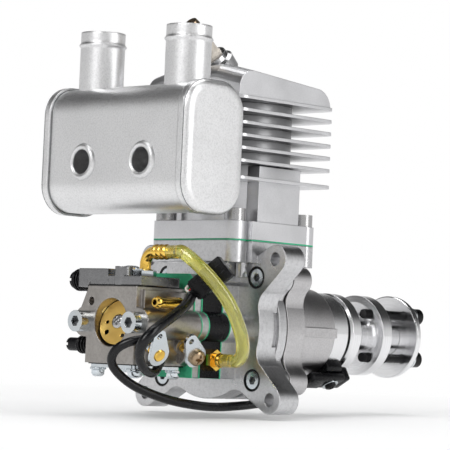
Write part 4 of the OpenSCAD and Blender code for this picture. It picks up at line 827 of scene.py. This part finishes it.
nut = turned("elbow_nut", "engine", "zinc", [(UP, mm(ELBOW_X, ELBOW_Y, ELBOW_SEAT), [
    (0, 0), (0, 4.5), (0.5, 4.7), (2.5, 4.7), (3.1, 4.1), (3.1, 0)])], 6)
for piece in (elbow, beads, nut):
    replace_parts(piece, "pulse_elbow")

# Ignition sensor: its saddle under the nose's ring, its body, and the screw that holds both.
# They are made hanging straight down and then turned about the crankshaft's axis.
NOSE_RING_R = 17.3
SADDLE_REAR, SADDLE_FRONT = 56.9, 66.2
SENSOR_SCREW_Y, SENSOR_UNDERSIDE = 61.55, -24.6


def saddle(bm):
    """A block that is hollowed to the ring above it."""
    arc = (math.radians(-20 + 4 * i) for i in range(11))
    outline = [(NOSE_RING_R * math.sin(a), -NOSE_RING_R * math.cos(a)) for a in arc]
    outline += [(5.9, -19.6), (4.8, -20.9), (-4.8, -20.9), (-5.9, -19.6)]
    rear = [bm.verts.new((x, SADDLE_REAR, z)) for x, z in outline]
    front = [bm.verts.new((x, SADDLE_FRONT, z)) for x, z in outline]
    bm.faces.new(rear)
    bm.faces.new(front)
    join_rings(bm, rear, front)
    bmesh.ops.recalc_face_normals(bm, faces=bm.faces)
    bevel(bm, [e for e in bm.edges if e.calc_face_angle(0) > 0.6], 0.4, 3)


def sensor_body(bm):
    """The sensor: a flat body, its raised pad, its foot in front and the cable's outlet."""
    shell(bm, (-4.4, 47.1, SENSOR_UNDERSIDE), (4.4, 67.9, -21.1), 1.3)
    shell(bm, (-4.0, 48.2, -24.95), (4.0, 57.4, -22), 0.8)
    shell(bm, (-4.4, 66.7, -24.4), (4.4, 70.9, -18.1), 1.0)
    shell(bm, (-1.6, 47.3, -24.9), (1.6, 49.5, -23), 0.5)


sensor_turn = Matrix.Rotation(math.radians(-30), 3, "Y")
sensor_out = sensor_turn @ Vector(DOWN)
seat = sensor_turn @ mm(0, SENSOR_SCREW_Y, SENSOR_UNDERSIDE)
for name, fill, node in (("sensor_saddle", saddle, "sensor_holder"),
                         ("sensor_body", sensor_body, "sensor")):
    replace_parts(moulding(name, "black_plastic", fill, mm(0, 0, 0), sensor_turn), node)
turned("sensor_screw_washer", "engine", "zinc", [(sensor_out, seat, [
    (0, 1.3), (0, 3.4), (0.1, 3.5), (0.5, 3.5), (0.6, 3.35), (0.6, 1.3), (0, 1.3)])])
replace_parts(cross_head("sensor_screw_head", "engine", "black_steel", [
    (sensor_out, seat + sensor_out * 0.6 * MM, 2.4, 1.4)]), "sensor")


# Floor, light and background
def floor_finish():
    """A white floor that melts into the white background further off."""
    f = Finish("floor_white", Roughness=0.55)
    f.show(Base_Color=f.mixed(f.noise(30, 2), (0.93, 0.93, 0.93, 1), (0.95, 0.95, 0.95, 1)))
    away = f.node("VectorMath", {"operation": "LENGTH"}, [f.place()], "Value")
    glow = f.node("Emission", {}, {"Color": (1, 1, 1, 1), "Strength": 1.0})
    f.blend(f.spread(away, 0.04, 0.4, 0.2, 1.0) * f.studio_rays(),
            Field(f, f.shader.outputs[0]), glow, "Material Output")
    return f.material


def make_floor(height, slope, far):
    """A square floor that rises to the front by its slope."""
    data = bpy.data.meshes.new("floor")
    corners = ((-far, -far), (far, -far), (far, far), (-far, far))
    data.from_pydata([(x, y, height + slope * y) for x, y in corners], [], [(0, 1, 2, 3)])
    data.materials.append(floor_finish())
    add_object("floor", data)


make_floor(height=-0.0362, slope=0.02, far=3.0)


def soft_box(name, spot, aim, wide, tall, power):
    """A rectangular lamp at a spot, turned to its aim."""
    data = bpy.data.lights.new(name, "AREA")
    data.shape = "RECTANGLE"
    data.size = wide
    data.size_y = tall
    data.energy = power
    obj = add_object(name, data)
    obj.location = spot
    obj.rotation_euler = (Vector(spot) - Vector(aim)).to_track_quat("Z", "Y").to_euler()


soft_box("key", (0.15, -1.0, 0.75), (0, 0, 0.04), wide=0.6, tall=0.6, power=7)
soft_box("side", (1.0, 0.25, 0.5), (0, 0, 0.03), wide=0.45, tall=0.9, power=4.5)
soft_box("top", (-0.1, 0.1, 1.1), (0, 0, 0.03), wide=0.8, tall=0.8, power=6)


def light_world():
    """A plain level of light on the object, and a white studio that only some rays see."""
    world = bpy.data.worlds.new("studio")
    bpy.context.scene.world = world
    world.use_nodes = True
    f = Tree(world.node_tree)
    plain = f.nodes["Background"]
    plain.inputs["Color"].default_value = (0.97, 0.98, 1.0, 1)
    plain.inputs["Strength"].default_value = 0.4
    # White at the horizon and darker overhead, as in a studio with its lamps at the sides
    height = f.axes(f.node("TexCoord", {}, {}, "Generated"))[2]
    walls = f.spread(height, 0.2, 0.55, 1.0, 0.04)
    # Metal sees those walls a little darker than the camera does
    glossy = f.node("LightPath", {}, {}, "Is Glossy Ray")
    walls = walls * f.spread(glossy, 0.0, 1.0, 1.0, 0.7)
    white = f.node("Background", {}, {"Color": (1, 1, 1, 1), "Strength": walls})
    f.blend(f.studio_rays(), Field(f, plain.outputs[0]), white, "World Output")


light_world()
bpy.context.scene.view_settings.view_transform = "Standard"
